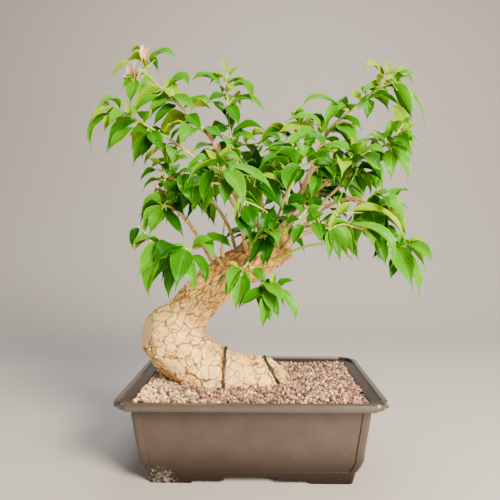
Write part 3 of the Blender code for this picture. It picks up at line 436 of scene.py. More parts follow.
# %% Bed of the gravel
GRAVEL_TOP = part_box("gravel")[1].z
BED_DROP = 0.0026
bm = bmesh.new()
bm.from_mesh(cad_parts["gravel"].data)
bmesh.ops.remove_doubles(bm, verts=bm.verts, dist=1e-6)
for vert in bm.verts:
    if vert.co.z > GRAVEL_TOP - 1e-5:
        vert.co.z -= BED_DROP


def speckled(name, dark, light, size, roughness):
    """Stone material whose colour wanders between two tones over patches of a real size."""
    material, tree, shader = finish(name, dark, roughness, 1.54)
    spot = add(tree, "ShaderNodeTexCoord").outputs["Object"]
    patch = add(tree, "ShaderNodeTexNoise", {"Vector": spot, "Scale": 1.0 / size, "Detail": 4.0})
    tone = add(tree, "ShaderNodeValToRGB", {"Fac": patch.outputs["Fac"]}, ((0.35, dark), (0.68, light)))
    tree.links.new(tone.outputs["Color"], shader.inputs["Base Color"])
    pits = add(tree, "ShaderNodeTexNoise", {"Vector": spot, "Scale": 1400.0, "Detail": 3.0})
    bump = add(tree, "ShaderNodeBump", {"Height": pits.outputs["Fac"], "Strength": 0.4, "Distance": 0.0003})
    tree.links.new(bump.outputs["Normal"], shader.inputs["Normal"])
    return material


# The bed between the chips is painted dark brown, as painted shade in the gaps between stones
piece("gravel_bed", bm, speckled("stone bed painted dark as shade", "#2a221e", "#3f342e", 0.006, 0.95), "gravel", ["gravel"])

# %% Loose chips
CHIP_SPACING = 0.0040
CHIP_KINDS = 12
TRUNK_TREE = BVHTree.FromObject(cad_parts["trunk"], bpy.context.evaluated_depsgraph_get())
STONES = {
    "chips_pink": ("#8a5e4c", "#cb9f86"),
    "chips_pale_grey": ("#7e6a5a", "#bea890"),
    "chips_rust_grey": ("#5c3f33", "#8e6855"),
    "chips_dark": ("#3f3028", "#6e584a"),
    "chips_cream": ("#c9a66c", "#f2d7a8"),
}
LOTS = (("chips_dark", 0.20), ("chips_rust_grey", 0.42), ("chips_pale_grey", 0.64), ("chips_pink", 0.93),
        ("chips_cream", 1.0))
CHIP_RADIUS = (0.0017, 0.0032)
CHIP_CORNERS = (0.72, 1.18)
CHIP_FLATNESS = 0.78
CHIP_NARROWEST = 0.7
CHIP_JITTER = 0.4
CHIP_MISSING = 0.06
CHIP_RISE = (-0.0008, 0.0010)
LAYER_DROPS = (0.0019, 0.0)
EDGE_INSET = 0.0215
INSIDE_TRUNK = 0.0025
CREAM_AT = (-0.125, -0.075)
CREAM_SPREAD = 0.0016
LEFT_EDGE = (-0.13, 0.02)
CREAM_SHARES = (0.65, 0.5, 0.4)
# The surface heaves by 1.2 mm, and rises by 1.6 mm round a place at the left
SURFACE_WAVE = (28.0, 0.0012)
RISE_HEIGHT, RISE_AT, RISE_REACH = 0.0016, (-0.125, -0.04), (0.03, 0.06)
chance = random.Random(5)


def chip():
    """Corner points and triangles of one crushed stone of unit size."""
    bm = bmesh.new()
    bmesh.ops.create_icosphere(bm, subdivisions=1, radius=1.0)
    for vert in bm.verts:
        vert.co *= chance.uniform(*CHIP_CORNERS)
        vert.co.z *= CHIP_FLATNESS
    hull = bmesh.ops.convex_hull(bm, input=bm.verts)
    spare = {g for g in hull["geom_interior"] + hull["geom_unused"] if isinstance(g, bmesh.types.BMVert)}
    bmesh.ops.delete(bm, geom=list(spare), context="VERTS")
    bmesh.ops.triangulate(bm, faces=bm.faces[:])
    bmesh.ops.recalc_face_normals(bm, faces=bm.faces[:])
    bm.verts.index_update()
    shape = (np.array([v.co for v in bm.verts]), np.array([[v.index for v in f.verts] for f in bm.faces]))
    bm.free()
    return shape


def joined(name, parts):
    """One mesh from many (points, faces) arrays."""
    points, faces, base = [], [], 0
    for corners, sides in parts:
        points.append(corners)
        faces += (sides + base).tolist()
        base += len(corners)
    mesh = bpy.data.meshes.new(name)
    mesh.from_pydata(np.concatenate(points).tolist(), [], faces)
    return mesh


def mound(x, y):
    """Height of the gravel's surface over its level, a soft heave with a rise at the left."""
    wave = noise.noise(Vector((x, y, 0.0)) * SURFACE_WAVE[0]) * SURFACE_WAVE[1]
    along, across = (x - RISE_AT[0]) / RISE_REACH[0], (y - RISE_AT[1]) / RISE_REACH[1]
    return wave + RISE_HEIGHT * math.exp(-along ** 2 - across ** 2)


chips = [chip() for _ in range(CHIP_KINDS)]
heaps = {name: [] for name in STONES}
half_x, half_y = POT_LENGTH / 2 - EDGE_INSET, POT_WIDTH / 2 - EDGE_INSET
for layer, drop in enumerate(LAYER_DROPS):
    for i in range(int(2 * half_x / CHIP_SPACING) + 1):
        for j in range(int(2 * half_y / CHIP_SPACING) + 1):
            x = -half_x + (i + chance.uniform(-CHIP_JITTER, CHIP_JITTER) + 0.5 * layer) * CHIP_SPACING
            y = -half_y + (j + chance.uniform(-CHIP_JITTER, CHIP_JITTER) + 0.5 * layer) * CHIP_SPACING
            if abs(x) > half_x or abs(y) > half_y or chance.random() < CHIP_MISSING:
                continue
            place = HOME + Vector((x, y, GRAVEL_TOP - drop + mound(x, y) + chance.uniform(*CHIP_RISE)))
            foot, away, _, _ = TRUNK_TREE.find_nearest(place)
            if (place - foot).dot(away) < 0.0 and (place - foot).length > INSIDE_TRUNK:
                continue
            corner = math.exp(-((x - CREAM_AT[0]) ** 2 + (y - CREAM_AT[1]) ** 2) / CREAM_SPREAD)
            left_edge = CREAM_SHARES[2] * math.exp(-((x - LEFT_EDGE[0]) / LEFT_EDGE[1]) ** 2)
            is_cream = chance.random() < CREAM_SHARES[0] * corner + CREAM_SHARES[1] * left_edge
            lot = 1.0 if is_cream else chance.random()
            kind = next(name for name, limit in LOTS if lot <= limit)
            corners, sides = chips[chance.randrange(CHIP_KINDS)]
            turn = Vector((chance.gauss(0, 1), chance.gauss(0, 1), chance.gauss(0, 1))).normalized()
            spin = np.array(turn.to_track_quat("Z", "Y").to_matrix())
            size = chance.uniform(*CHIP_RADIUS) * np.array((1.0, chance.uniform(CHIP_NARROWEST, 1.0), 1.0))
            heaps[kind].append(((corners * size) @ spin.T + np.array(place), sides))
for name, parts in heaps.items():
    stone = speckled(name.replace("_", " "), *STONES[name], 0.008, 0.85)
    dress(name, joined(name, parts), stone, "gravel", smooth=False)

# %% [markdown]
# ## The trunk
# The trunk is old for its size: it was grown thick in the ground, chopped low, and laid over. Its
# bark has split into plates with thin cracks between them, as bark does when the wood inside
# grows and the dead skin can't. Lower down the plates are broad, near the top they are thin flakes.
#
# A sheet of quads is wrapped round the trunk's line, ring by ring, and each point is pushed out
# or in by the bark. Cell noise gives the plates: the gap between the nearest and the second
# nearest cell falls to nothing along every crack. The same value colours the crack.

# %% Bark relief
# Along the trunk from its buried end: x and z from HOME, radius, and tilt in degrees
STATIONS = (
    (0.0430, 0.0960, 0.0120, 172.0), (0.0265, 0.0970, 0.0270, 176.0), (0.0030, 0.0990, 0.0320, 178.0),
    (-0.0280, 0.0995, 0.0365, 174.0), (-0.0585, 0.1080, 0.0385, 150.0), (-0.0810, 0.1280, 0.0375, 128.0),
    (-0.1005, 0.1490, 0.0415, 103.0), (-0.1030, 0.1665, 0.0415, 82.0), (-0.0870, 0.1845, 0.0295, 58.0),
    (-0.0745, 0.1995, 0.0266, 46.0), (-0.0540, 0.2185, 0.0266, 42.0), (-0.0310, 0.2380, 0.0258, 38.0),
    (-0.0076, 0.2515, 0.0246, 33.0), (0.0200, 0.2690, 0.0238, 28.0), (0.0485, 0.2810, 0.0190, 12.0),
)
PLATE_LOW = (0.0122, 1.3)
PLATE_HIGH = (0.0064, 2.4)
CHANGE_LOW, CHANGE_HIGH = 0.165, 0.215
GRAIN_LEAN = math.radians(38.0)
TILT = 0.34
DRIFT_READINGS = (9.3, 51.7, 117.1)
# How often in a metre the cracks bend, and how far in metres
COARSE = (130.0, 0.0032)
FINE = (420.0, 0.0008)
# Cracks are 0.7 to 1.9 mm wide, plates differ by up to 1.8 mm in height, and their edges curl up
CRACK_WIDTH, CRACK_VARIES, CRACK_DEPTH = 0.0013, 0.0006, 0.0012
CRACK_WAVES, DEPTH_WAVES = 60.0, 95.0
DEPTH_FROM, DEPTH_RUN, DEPTH_SPAN, CALMER_HIGH = 0.80, 0.20, (-0.35, 0.25), 0.2
LIP_OUT, LIP_WIDTH, LIP_HEIGHT = 1.3, 0.0008, 0.0005
PLATE_STEP = 0.0018
# Waves in a metre and height in metres of the fibres and of the flakes, which grow with height
FIBRE, FLAKE, FLAKE_HIGH = (480.0, 0.0004), (190.0, 0.0006), 0.0012
TILT_STRIDE, LOT_STRIDE = 5.7, 7.3
BARK_SHARP = 80.0


def curve_point(points, share):
    """Point on the smooth curve through the given points, at a share of its run."""
    spans = len(points) - 1
    place = min(max(share, 0.0), 1.0) * spans
    k = min(int(place), spans - 1)
    t = place - k
    p1, p2 = Vector(points[k]), Vector(points[k + 1])
    p0 = Vector(points[k - 1]) if k > 0 else p1 * 2 - p2
    p3 = Vector(points[k + 2]) if k + 2 <= spans else p2 * 2 - p1
    return 0.5 * (2 * p1 + (p2 - p0) * t + (2 * p0 - 5 * p1 + 4 * p2 - p3) * t ** 2
                  + (3 * p1 - p0 - 3 * p2 + p3) * t ** 3)


def soft(low, high, value):
    """Smooth step from 0 to 1."""
    t = min(max((value - low) / (high - low), 0.0), 1.0)
    return t * t * (3.0 - 2.0 * t)


def drift(place):
    """Three noises read far apart, as one vector."""
    return Vector([noise.noise(place + Vector((far, 2 * far, -far))) for far in DRIFT_READINGS])


def plates(place, size, stretch):
    """How far a point is inside its bark plate, the plate's chance value, and how it is tilted there."""
    lean = Vector((place.x * math.cos(GRAIN_LEAN) + place.z * math.sin(GRAIN_LEAN), place.y,
                   place.z * math.cos(GRAIN_LEAN) - place.x * math.sin(GRAIN_LEAN)))
    lean.x /= stretch
    rough = drift(lean * COARSE[0]) * COARSE[1] + drift(lean * FINE[0]) * FINE[1]
    spot = (lean + rough) / size
    away, cells = noise.voronoi(spot)
    tilt = drift(cells[0] * TILT_STRIDE).dot(spot - cells[0]) * size
    return (away[1] - away[0]) * size, noise.noise(cells[0] * LOT_STRIDE) + 0.5, tilt


def bark(place, low=PLATE_LOW, high=PLATE_HIGH, depth=CRACK_DEPTH):
    """Outward push of the bark at a point, its crack value and its plate's chance value."""
    blend = soft(CHANGE_LOW, CHANGE_HIGH, place.z)
    inside, lot, tilt = plates(place, *(low if blend < 0.5 else high))
    wide = CRACK_WIDTH + CRACK_VARIES * noise.noise(place * CRACK_WAVES)
    crack = 1.0 - soft(0.0, wide, inside)
    deep = DEPTH_FROM + DEPTH_RUN * soft(*DEPTH_SPAN, noise.noise(place * DEPTH_WAVES))
    deep *= 1.0 - CALMER_HIGH * blend
    lip = math.exp(-((inside - wide * LIP_OUT) / LIP_WIDTH) ** 2) * LIP_HEIGHT
    plate = (lot - 0.5) * PLATE_STEP + tilt * TILT
    fine = (noise.noise(place * FIBRE[0]) * FIBRE[1]
            + noise.noise(place * FLAKE[0]) * (FLAKE[1] + FLAKE_HIGH * blend))
    return (1.0 - crack) * (plate + lip) - crack * depth * deep + fine, crack * deep, lot


# %% Wrap the trunk
TRUNK_ROWS = 372
TRUNK_SIDES = 252
CAP_ROWS = 8
TRUNK_DEPTH = 0.98
LUMP = (0.022, 3, 0.9, 1.7)
SKIN_SINK = 0.0002
CUT_POINT = HOME + Vector((-0.1442, 0.0, 0.1620))
CUT_NORMAL = Vector((-0.87, -0.43, 0.22)).normalized()
END_POINT = HOME + Vector((0.0353, 0.0, 0.1168))
END_NORMAL = Vector((0.715, 0.0, 0.699))
END_SHARE = 0.2
HEAVE = (34.0, 0.0014)
KNOB = (78.0, 0.10, 0.0050)
SAW_ROUND, SAW_SINK = 0.14, 0.0006
BRIM_WIDTH, BRIM_DARK = 0.0020, 0.9
# Waves in a metre and depth in metres of the two cut faces
CUT_HEAVE, CUT_GRAIN, END_GRAIN = (45.0, 0.0008), (300.0, 0.00015), (260.0, 0.0009)
HIGH_SPAN, HIGH_HEAVE = (0.165, 0.240), (45.0, 0.024)
CUT_EDGE, END_EDGE, END_SHOWS = (-0.0012, 0.0003), (-0.0012, 0.0006), 0.8
CRACKS_END = 0.001
WELD = 2e-6
TRUNK_FOOT = GRAVEL_TOP - BED_DROP
centres = [(x, 0.0, z) for x, z, _, _ in STATIONS]
shapes = [(radius, tilt, 0.0) for _, _, radius, tilt in STATIONS]

bm = bmesh.new()
rows = TRUNK_ROWS + CAP_ROWS
bmesh.ops.create_grid(bm, x_segments=rows, y_segments=TRUNK_SIDES, size=1.0)
marks = {name: bm.verts.layers.float.new(name) for name in ("crack", "plate", "sawn", "high")}
for vert in bm.verts:
    row = (vert.co.x + 1.0) / 2.0 * rows
    angle = math.tau * (vert.co.y + 1.0) / 2.0
    share = min(row / TRUNK_ROWS, 1.0)
    centre = curve_point(centres, share)
    radius, tilt, _ = curve_point(shapes, share)
    run = math.radians(tilt)
    out = Vector((-math.sin(run), 0.0, math.cos(run)))
    ahead = Vector((math.cos(run), 0.0, math.sin(run)))
    step = share * 2 * (len(STATIONS) - 1)
    swell = 1.0 + LUMP[0] * math.sin(LUMP[1] * angle + LUMP[2] * step) * math.cos(LUMP[3] * step)
    arm = out * math.cos(angle) + Vector((0.0, math.sin(angle) * TRUNK_DEPTH, 0.0))
    place = HOME + centre + arm * radius * swell
    push, crack, lot = bark(place)
    push += (noise.noise(place * HEAVE[0]) * HEAVE[1]
             + max(noise.noise(place * KNOB[0]) - KNOB[1], 0.0) * KNOB[2])
    push -= SKIN_SINK
    inward = max(0.0, row / TRUNK_ROWS - 1.0) * TRUNK_ROWS / CAP_ROWS
    sawn = soft(0.0, SAW_ROUND, inward)
    place += arm * (push * (1.0 - inward) - radius * swell * inward)
    place -= ahead * SAW_SINK * sawn
    beyond = (place - CUT_POINT).dot(CUT_NORMAL)
    limit = (noise.noise(place * CUT_HEAVE[0]) * CUT_HEAVE[1]
             + noise.noise(place * CUT_GRAIN[0]) * CUT_GRAIN[1])
    if beyond > limit:
        place -= CUT_NORMAL * (beyond - limit)
    past_end = (place - END_POINT).dot(END_NORMAL) - noise.noise(place * END_GRAIN[0]) * END_GRAIN[1]
    past_end = past_end if share < END_SHARE else -1.0
    if past_end > 0.0:
        place -= END_NORMAL * past_end
    vert.co = place
    brim = math.exp(-((beyond - limit) / BRIM_WIDTH) ** 2) * BRIM_DARK
    vert[marks["crack"]] = max(crack * (1.0 - sawn) * (1.0 - soft(limit, limit + CRACKS_END, beyond)), brim)
    vert[marks["plate"]] = lot
    vert[marks["high"]] = soft(*HIGH_SPAN, place.z + HIGH_HEAVE[1] * noise.noise(place * HIGH_HEAVE[0]))
    vert[marks["sawn"]] = max(sawn, soft(limit + CUT_EDGE[0], limit + CUT_EDGE[1], beyond),
                              END_SHOWS * soft(*END_EDGE, past_end))
bmesh.ops.remove_doubles(bm, verts=bm.verts, dist=WELD)
bmesh.ops.holes_fill(bm, edges=[e for e in bm.edges if e.is_boundary])
bmesh.ops.bisect_plane(bm, geom=bm.verts[:] + bm.edges[:] + bm.faces[:], dist=LEVEL,
                       plane_co=(0, 0, TRUNK_FOOT), plane_no=-UP, clear_outer=True)
bmesh.ops.holes_fill(bm, edges=[e for e in bm.edges if e.is_boundary])
bmesh.ops.recalc_face_normals(bm, faces=bm.faces[:])

LAYER_COUNT = 9.0
GRAIN_SCALE = (60.0, 420.0, 46.0)


def bark_finish(name, dark, light, crack_code, sawn_code, rosy, upper, step_shade_code):
    """Bark whose plates, cracks and cut faces are told apart by the mesh's own marks, with painted shade at
    the foot of each flake's step.
    """
    material, tree, shader = finish(name, light, 0.86, 1.5)
    spot = add(tree, "ShaderNodeTexCoord").outputs["Object"]
    plate, crack, sawn, high = (add(tree, "ShaderNodeAttribute", attribute_name=mark).outputs["Fac"]
                                for mark in ("plate", "crack", "sawn", "high"))
    cloud = add(tree, "ShaderNodeTexNoise", {"Vector": spot, "Scale": 110.0, "Detail": 6.0,
                                             "Roughness": 0.65})
    speck = add(tree, "ShaderNodeTexNoise", {"Vector": spot, "Scale": 480.0, "Detail": 4.0, "Roughness": 0.7})
    mottle = add(tree, "ShaderNodeMath", {0: speck.outputs["Fac"], 1: 0.6, 2: cloud.outputs["Fac"]},
                 operation="MULTIPLY_ADD")
    both = add(tree, "ShaderNodeMath", {0: plate, 1: 0.25, 2: mottle.outputs["Value"]},
               operation="MULTIPLY_ADD")
    tone = add(tree, "ShaderNodeValToRGB", {"Fac": both.outputs["Value"]}, ((0.66, dark), (1.0, light)))
    blush = add(tree, "ShaderNodeTexNoise", {"Vector": spot, "Scale": 75.0, "Detail": 3.0})
    blush = add(tree, "ShaderNodeMapRange", {"Value": blush.outputs["Fac"], "From Min": 0.50,
                                             "From Max": 0.72, "To Max": 0.55})
    # Painted shade: the relief noise is cut into terraces, and a darker band is painted at the foot of each
    # step, where a lifted flake would shade the bark below it; the terraces also go into the bump
    relief = add(tree, "ShaderNodeTexNoise", {"Vector": spot, "Scale": 75.0, "Detail": 3.0, "Roughness": 0.55,
                                              "Distortion": 0.5})
    climb = add(tree, "ShaderNodeMath", {0: relief.outputs["Fac"], 1: LAYER_COUNT}, operation="MULTIPLY")
    layer = add(tree, "ShaderNodeMath", {0: climb.outputs["Value"]}, operation="FRACT").outputs["Value"]
    flake_step_shade = add(tree, "ShaderNodeMapRange", {"Value": layer, "From Min": 0.0, "From Max": 0.12,
                                             "To Min": 0.62, "To Max": 0.0}).outputs["Result"]
    solid = add(tree, "ShaderNodeMath", {0: 1.0, 1: sawn}, operation="SUBTRACT").outputs["Value"]
    flake_step_shade = add(tree, "ShaderNodeMath", {0: flake_step_shade, 1: solid}, operation="MULTIPLY").outputs["Value"]
    grain = add(tree, "ShaderNodeMapping", {"Vector": spot, "Scale": GRAIN_SCALE})
    grain = add(tree, "ShaderNodeTexNoise", {"Vector": grain.outputs["Vector"], "Scale": 1.0, "Detail": 5.0})
    streak = add(tree, "ShaderNodeMapRange", {"Value": grain.outputs["Fac"], "From Min": 0.48,
                                              "From Max": 0.66, "To Max": 0.35})
    streak = add(tree, "ShaderNodeMath", {0: streak.outputs["Result"], 1: sawn}, operation="MULTIPLY")
    aged = add(tree, "ShaderNodeMath", {0: high, 1: 0.75}, operation="MULTIPLY").outputs["Value"]
    layers = ((blush.outputs["Result"], rosy), (aged, upper), (flake_step_shade, step_shade_code), (crack, crack_code),
              (sawn, sawn_code), (streak.outputs["Value"], upper))
    colour = tone.outputs["Color"]
    for factor, code in layers:
        mix = add(tree, "ShaderNodeMix", {"Factor": factor}, data_type="RGBA")
        tree.links.new(colour, mix.inputs["A"])
        mix.inputs["B"].default_value = linear(code)
        colour = mix.outputs["Result"]
    tree.links.new(colour, shader.inputs["Base Color"])
    flake = add(tree, "ShaderNodeTexVoronoi", {"Vector": spot, "Scale": 260.0}, feature="DISTANCE_TO_EDGE")
    edge = add(tree, "ShaderNodeMapRange", {"Value": flake.outputs["Distance"], "From Min": 0.0,
                                            "From Max": 0.12})
    fibre = add(tree, "ShaderNodeTexNoise", {"Vector": spot, "Scale": 700.0, "Detail": 5.0,
                                             "Distortion": 0.6})
    rough = add(tree, "ShaderNodeMath", {0: edge.outputs["Result"], 1: 0.5, 2: fibre.outputs["Fac"]},
                operation="MULTIPLY_ADD")
    rough = add(tree, "ShaderNodeMath", {0: layer, 1: 0.5, 2: rough.outputs["Value"]},
                operation="MULTIPLY_ADD")
    calm = add(tree, "ShaderNodeMapRange", {"Value": sawn, "To Min": 1.0, "To Max": 0.35}).outputs["Result"]
    bump = add(tree, "ShaderNodeBump", {"Height": rough.outputs["Value"], "Strength": calm,
                                        "Distance": 0.0011})
    tree.links.new(bump.outputs["Normal"], shader.inputs["Normal"])
    return material


# Colours in order: dark and light plate, crack, cut face, blush, upper trunk, and the painted shade at the
# foot of flake steps
trunk_bark = bark_finish("flaky bougainvillea bark", "#e0a658", "#ffd98c", "#463014", "#ffd498", "#f6a072",
                         "#c8903e", "#8a6430")
trunk = piece("trunk_bark", bm, trunk_bark, "bark", ["trunk"], sharp=BARK_SHARP)

# %% [markdown]
# ## The tie wires
# Two lengths of plastic-coated wire hold the lying trunk down until it has rooted. Each is doubled,
# goes over the bark and runs down among the stones. Rays sent out from inside the wood find where the
# bark is, and the wire's line lies on those places, half its thickness out.

# %% Lines with thickness
WIRE_RADIUS = 0.00125
WIRE_TURNS = 40
WIRE_TAIL = 0.006
STRAND_SHARE = 0.7
STRAND_TWIST = 0.3
# A point in the wood under each wire, and the way that the trunk runs there
WIRE_HEARTS = {
    "tie_wire_left": ((-0.0340, 0.0, 0.1013), (1.0, 0.0, 0.0)),
    "tie_wire_right": ((0.0330, 0.0, 0.1013), (0.84, 0.07, 0.48)),
}


def strands(name, lines, sides=2):
    """Mesh of round lines. Each line is a list of (point, radius), and its ends are closed."""
    curve = bpy.data.curves.new(name, "CURVE")
    curve.dimensions = "3D"
    curve.bevel_depth = 1.0
    curve.bevel_resolution = sides
    curve.use_fill_caps = True
    for line in lines:
        spline = curve.splines.new("POLY")
        spline.points.add(len(line) - 1)
        for point, (place, radius) in zip(spline.points, line):
            point.co = (*place, 1.0)
            point.radius = radius
    carrier = bpy.data.objects.new(name, curve)
    bpy.context.scene.collection.objects.link(carrier)
    graph = bpy.context.evaluated_depsgraph_get()
    mesh = bpy.data.meshes.new_from_object(carrier.evaluated_get(graph), depsgraph=graph)
    bpy.data.objects.remove(carrier)
    return mesh


# Soft vinyl over wire: nearly black, with a dull shine and a little dust from the stones
coating, tree, shader = finish("black plastic wire coating", "#17181a", 0.38, 1.5)
spot = add(tree, "ShaderNodeTexCoord").outputs["Object"]
dust = add(tree, "ShaderNodeTexNoise", {"Vector": spot, "Scale": 500.0, "Detail": 4.0})
tone = add(tree, "ShaderNodeValToRGB", {"Fac": dust.outputs["Fac"]}, ((0.0, "#101113"), (1.0, "#34332f")))
tree.links.new(tone.outputs["Color"], shader.inputs["Base Color"])
wood = BVHTree.FromObject(trunk, bpy.context.evaluated_depsgraph_get())
for name, (heart, facing) in WIRE_HEARTS.items():
    heart, facing = HOME + Vector(heart), Vector(facing).normalized()
    flat = Vector((0.0, 1.0, 0.0))
    flat = (flat - facing * flat.dot(facing)).normalized()
    rise = facing.cross(flat) * (1 if facing.cross(flat).z > 0 else -1)
    rays = [flat * math.cos(math.pi * i / WIRE_TURNS) + rise * math.sin(math.pi * i / WIRE_TURNS)
            for i in range(WIRE_TURNS + 1)]
    hits = [max(wood.ray_cast(heart + facing * side, ray)[3] for side in (-WIRE_RADIUS, 0.0, WIRE_RADIUS))
            for ray in rays]
    pair = []
    for shift in (-WIRE_RADIUS, WIRE_RADIUS):
        line = []
        for i, ray in enumerate(rays):
            away = max(hits[max(i - 2, 0):i + 3]) + WIRE_RADIUS
            line.append((heart + ray * away + facing * shift * STRAND_SHARE * math.cos(i * STRAND_TWIST),
                         WIRE_RADIUS))
        tails = [(line[end][0] - rise * WIRE_TAIL, WIRE_RADIUS) for end in (0, -1)]
        pair.append([tails[0]] + line + [tails[1]])
    dress(name.replace("tie_wire", "wire"), strands(name, pair, sides=3), coating, "wire_coating", [name])

# %% [markdown]
# ## The boughs
# After each chop the trunk answered with new shoots, and the strongest were kept. They are pencil
# thick at the foot, they taper, and their bark has only begun to crack. Each is a round line with a
# radius at every point, and the same cell noise then moves its skin by tenths of a millimetre.
#
# The routes are written from HOME, in metres, with the radius at the foot and at the tip.

# %% Bough routes
BOUGHS = {
    "bough_left": (
        "trunk", ((0.000, -0.006, 0.260), (-0.012, -0.008, 0.316), (-0.026, -0.010, 0.352),
                  (-0.040, -0.012, 0.386), (-0.044, -0.012, 0.400)), 0.0064, 0.0038),
    "bough_left_arm": (
        "bough_left", ((-0.034, -0.011, 0.370), (-0.052, -0.020, 0.378), (-0.068, -0.025, 0.384)),
        0.0034, 0.0024),
    "bough_left_spur": (
        "trunk", ((-0.045, -0.008, 0.243), (-0.064, -0.022, 0.281), (-0.077, -0.032, 0.303),
                  (-0.090, -0.040, 0.319)), 0.0050, 0.0028),
    "bough_lower_left": (
        "trunk", ((-0.035, -0.010, 0.246), (-0.054, -0.038, 0.274), (-0.066, -0.055, 0.275)),
        0.0042, 0.0024),
    "bough_front": (
        "trunk", ((-0.005, -0.012, 0.260), (-0.012, -0.040, 0.298), (-0.022, -0.062, 0.328),
                  (-0.028, -0.074, 0.346)), 0.0050, 0.0026),
    "bough_centre": (
        "trunk", ((0.014, 0.008, 0.266), (0.004, 0.009, 0.322), (-0.010, 0.010, 0.354)),
        0.0052, 0.0034),
    "bough_right": (
        "trunk", ((0.024, 0.000, 0.276), (0.046, -0.006, 0.312), (0.064, -0.010, 0.346),
                  (0.077, -0.010, 0.374)), 0.0078, 0.0042),
    "bough_right_top": (
        "bough_right", ((0.064, -0.010, 0.344), (0.062, -0.002, 0.376), (0.062, 0.000, 0.400)),
        0.0034, 0.0022),
    "bough_right_outer": (
        "bough_right", ((0.058, -0.010, 0.332), (0.086, -0.012, 0.350), (0.113, -0.020, 0.371),
                        (0.140, -0.030, 0.387)), 0.0040, 0.0025),
    "bough_right_front": (
        "trunk", ((0.040, -0.010, 0.278), (0.081, -0.035, 0.323), (0.107, -0.045, 0.349),
                  (0.117, -0.049, 0.360)), 0.0044, 0.0025),
    "bough_front_right": (
        "trunk", ((0.022, -0.012, 0.273), (0.034, -0.045, 0.316), (0.048, -0.064, 0.354)),
        0.0042, 0.0024),
    "bough_right_middle": (
        "trunk", ((0.036, -0.014, 0.268), (0.056, -0.047, 0.296), (0.074, -0.070, 0.301)),
        0.0038, 0.0022),
    "bough_low_right": (
        "trunk", ((0.046, -0.003, 0.279), (0.090, -0.028, 0.322), (0.120, -0.039, 0.335),
                  (0.134, -0.045, 0.331)), 0.0042, 0.0024),
    "bough_droop_right": (
        "trunk", ((0.036, 0.008, 0.278), (0.098, -0.002, 0.304), (0.137, -0.022, 0.299),
                  (0.156, -0.038, 0.287)), 0.0042, 0.0023),
    "bough_hanging": (
        "trunk", ((0.005, -0.012, 0.260), (0.007, -0.044, 0.270), (0.002, -0.060, 0.264)),
        0.0032, 0.0021),
    "bough_collar": (
        "trunk", ((0.012, -0.010, 0.268), (0.014, -0.036, 0.288), (0.015, -0.048, 0.292)),
        0.0030, 0.0020),
    "bough_inner_left": (
        "bough_left", ((-0.023, -0.010, 0.346), (-0.040, -0.022, 0.354), (-0.056, -0.034, 0.354)),
        0.0030, 0.0021),
    "bough_inner_right": (
        "trunk", ((0.010, -0.010, 0.268), (0.014, -0.026, 0.306), (0.013, -0.036, 0.336)),
        0.0042, 0.0024),
    "bough_inner_far": (
        "trunk", ((0.030, 0.002, 0.280), (0.052, 0.016, 0.316), (0.074, 0.024, 0.338)),
        0.0042, 0.0024),
    "green_shoot_low": (
        "trunk", ((0.016, -0.010, 0.253), (0.040, -0.024, 0.264), (0.070, -0.026, 0.276),
                  (0.100, -0.025, 0.278), (0.114, -0.024, 0.271), (0.127, -0.022, 0.260)),
        0.0019, 0.0013),
    "green_shoot_upright": (
        "trunk", ((-0.040, -0.006, 0.250), (-0.037, -0.008, 0.290), (-0.033, -0.008, 0.318)),
        0.0015, 0.0009),
    "bough_back_left": (
        "trunk", ((-0.016, 0.010, 0.250), (-0.034, 0.040, 0.304), (-0.060, 0.062, 0.340),
                  (-0.078, 0.070, 0.350)), 0.0050, 0.0030),
    "bough_back_top": (
        "trunk", ((-0.004, 0.012, 0.262), (-0.010, 0.036, 0.318), (-0.006, 0.056, 0.364)),
        0.0055, 0.0030),
    "bough_back_right": (
        "trunk", ((0.030, 0.010, 0.274), (0.062, 0.042, 0.316), (0.096, 0.062, 0.350)),
        0.0055, 0.0030),
    "bough_back_low_right": (
        "trunk", ((0.040, 0.010, 0.278), (0.085, 0.042, 0.296), (0.118, 0.060, 0.304)),
        0.0045, 0.0026),
    "bough_back_low": (
        "trunk", ((0.014, 0.010, 0.262), (0.018, 0.048, 0.270), (0.019, 0.072, 0.278)),
        0.0042, 0.0026),
}
GREEN_SHOOTS = ("green_shoot_low", "green_shoot_upright")
BOUGH_POINT = 0.0016
FOOT_FLARE = 0.22
FLARE_RUN = 0.10
YOUNG_PLATES = (0.0046, 1.6)
YOUNG_CRACKS = 0.0006
YOUNG_RELIEF, YOUNG_DARK = 0.45, 0.7
BARK_SHARE = (0.47, 0.78)


def line_of(route, foot, tip, step, flare=0.0):
    """Points with radii along the smooth curve through a route, wider at the foot by a flare."""
    span = sum((Vector(b) - Vector(a)).length for a, b in zip(route, route[1:]))
    count = max(3, round(span / step))
    line = []
    for i in range(count + 1):
        share = i / count
        radius = foot + (tip - foot) * share
        line.append((curve_point(route, share), radius * (1.0 + flare * math.exp(-share / FLARE_RUN))))
    return line


def roughen(mesh, low, high, depth):
    """Push a mesh's skin along its normals by the bark, and mark its cracks and plates."""
    marks = {name: mesh.attributes.new(name, "FLOAT", "POINT") for name in ("crack", "plate", "sawn")}
    for vert in mesh.vertices:
        push, crack, lot = bark(vert.co.copy(), low, high, depth)
        vert.co += vert.normal * push * YOUNG_RELIEF
        marks["crack"].data[vert.index].value = crack * YOUNG_DARK
        marks["plate"].data[vert.index].value = lot


ROUTES = {name: [HOME + Vector(p) for p in row[1]] for name, row in BOUGHS.items()}
woody = [name for name in BOUGHS if name not in GREEN_SHOOTS]
lines = [line_of(ROUTES[name], BOUGHS[name][2] * BARK_SHARE[0], BOUGHS[name][3] * BARK_SHARE[1], BOUGH_POINT,
                 FOOT_FLARE) for name in woody]
mesh = strands("boughs", lines, sides=5)
roughen(mesh, YOUNG_PLATES, YOUNG_PLATES, YOUNG_CRACKS)
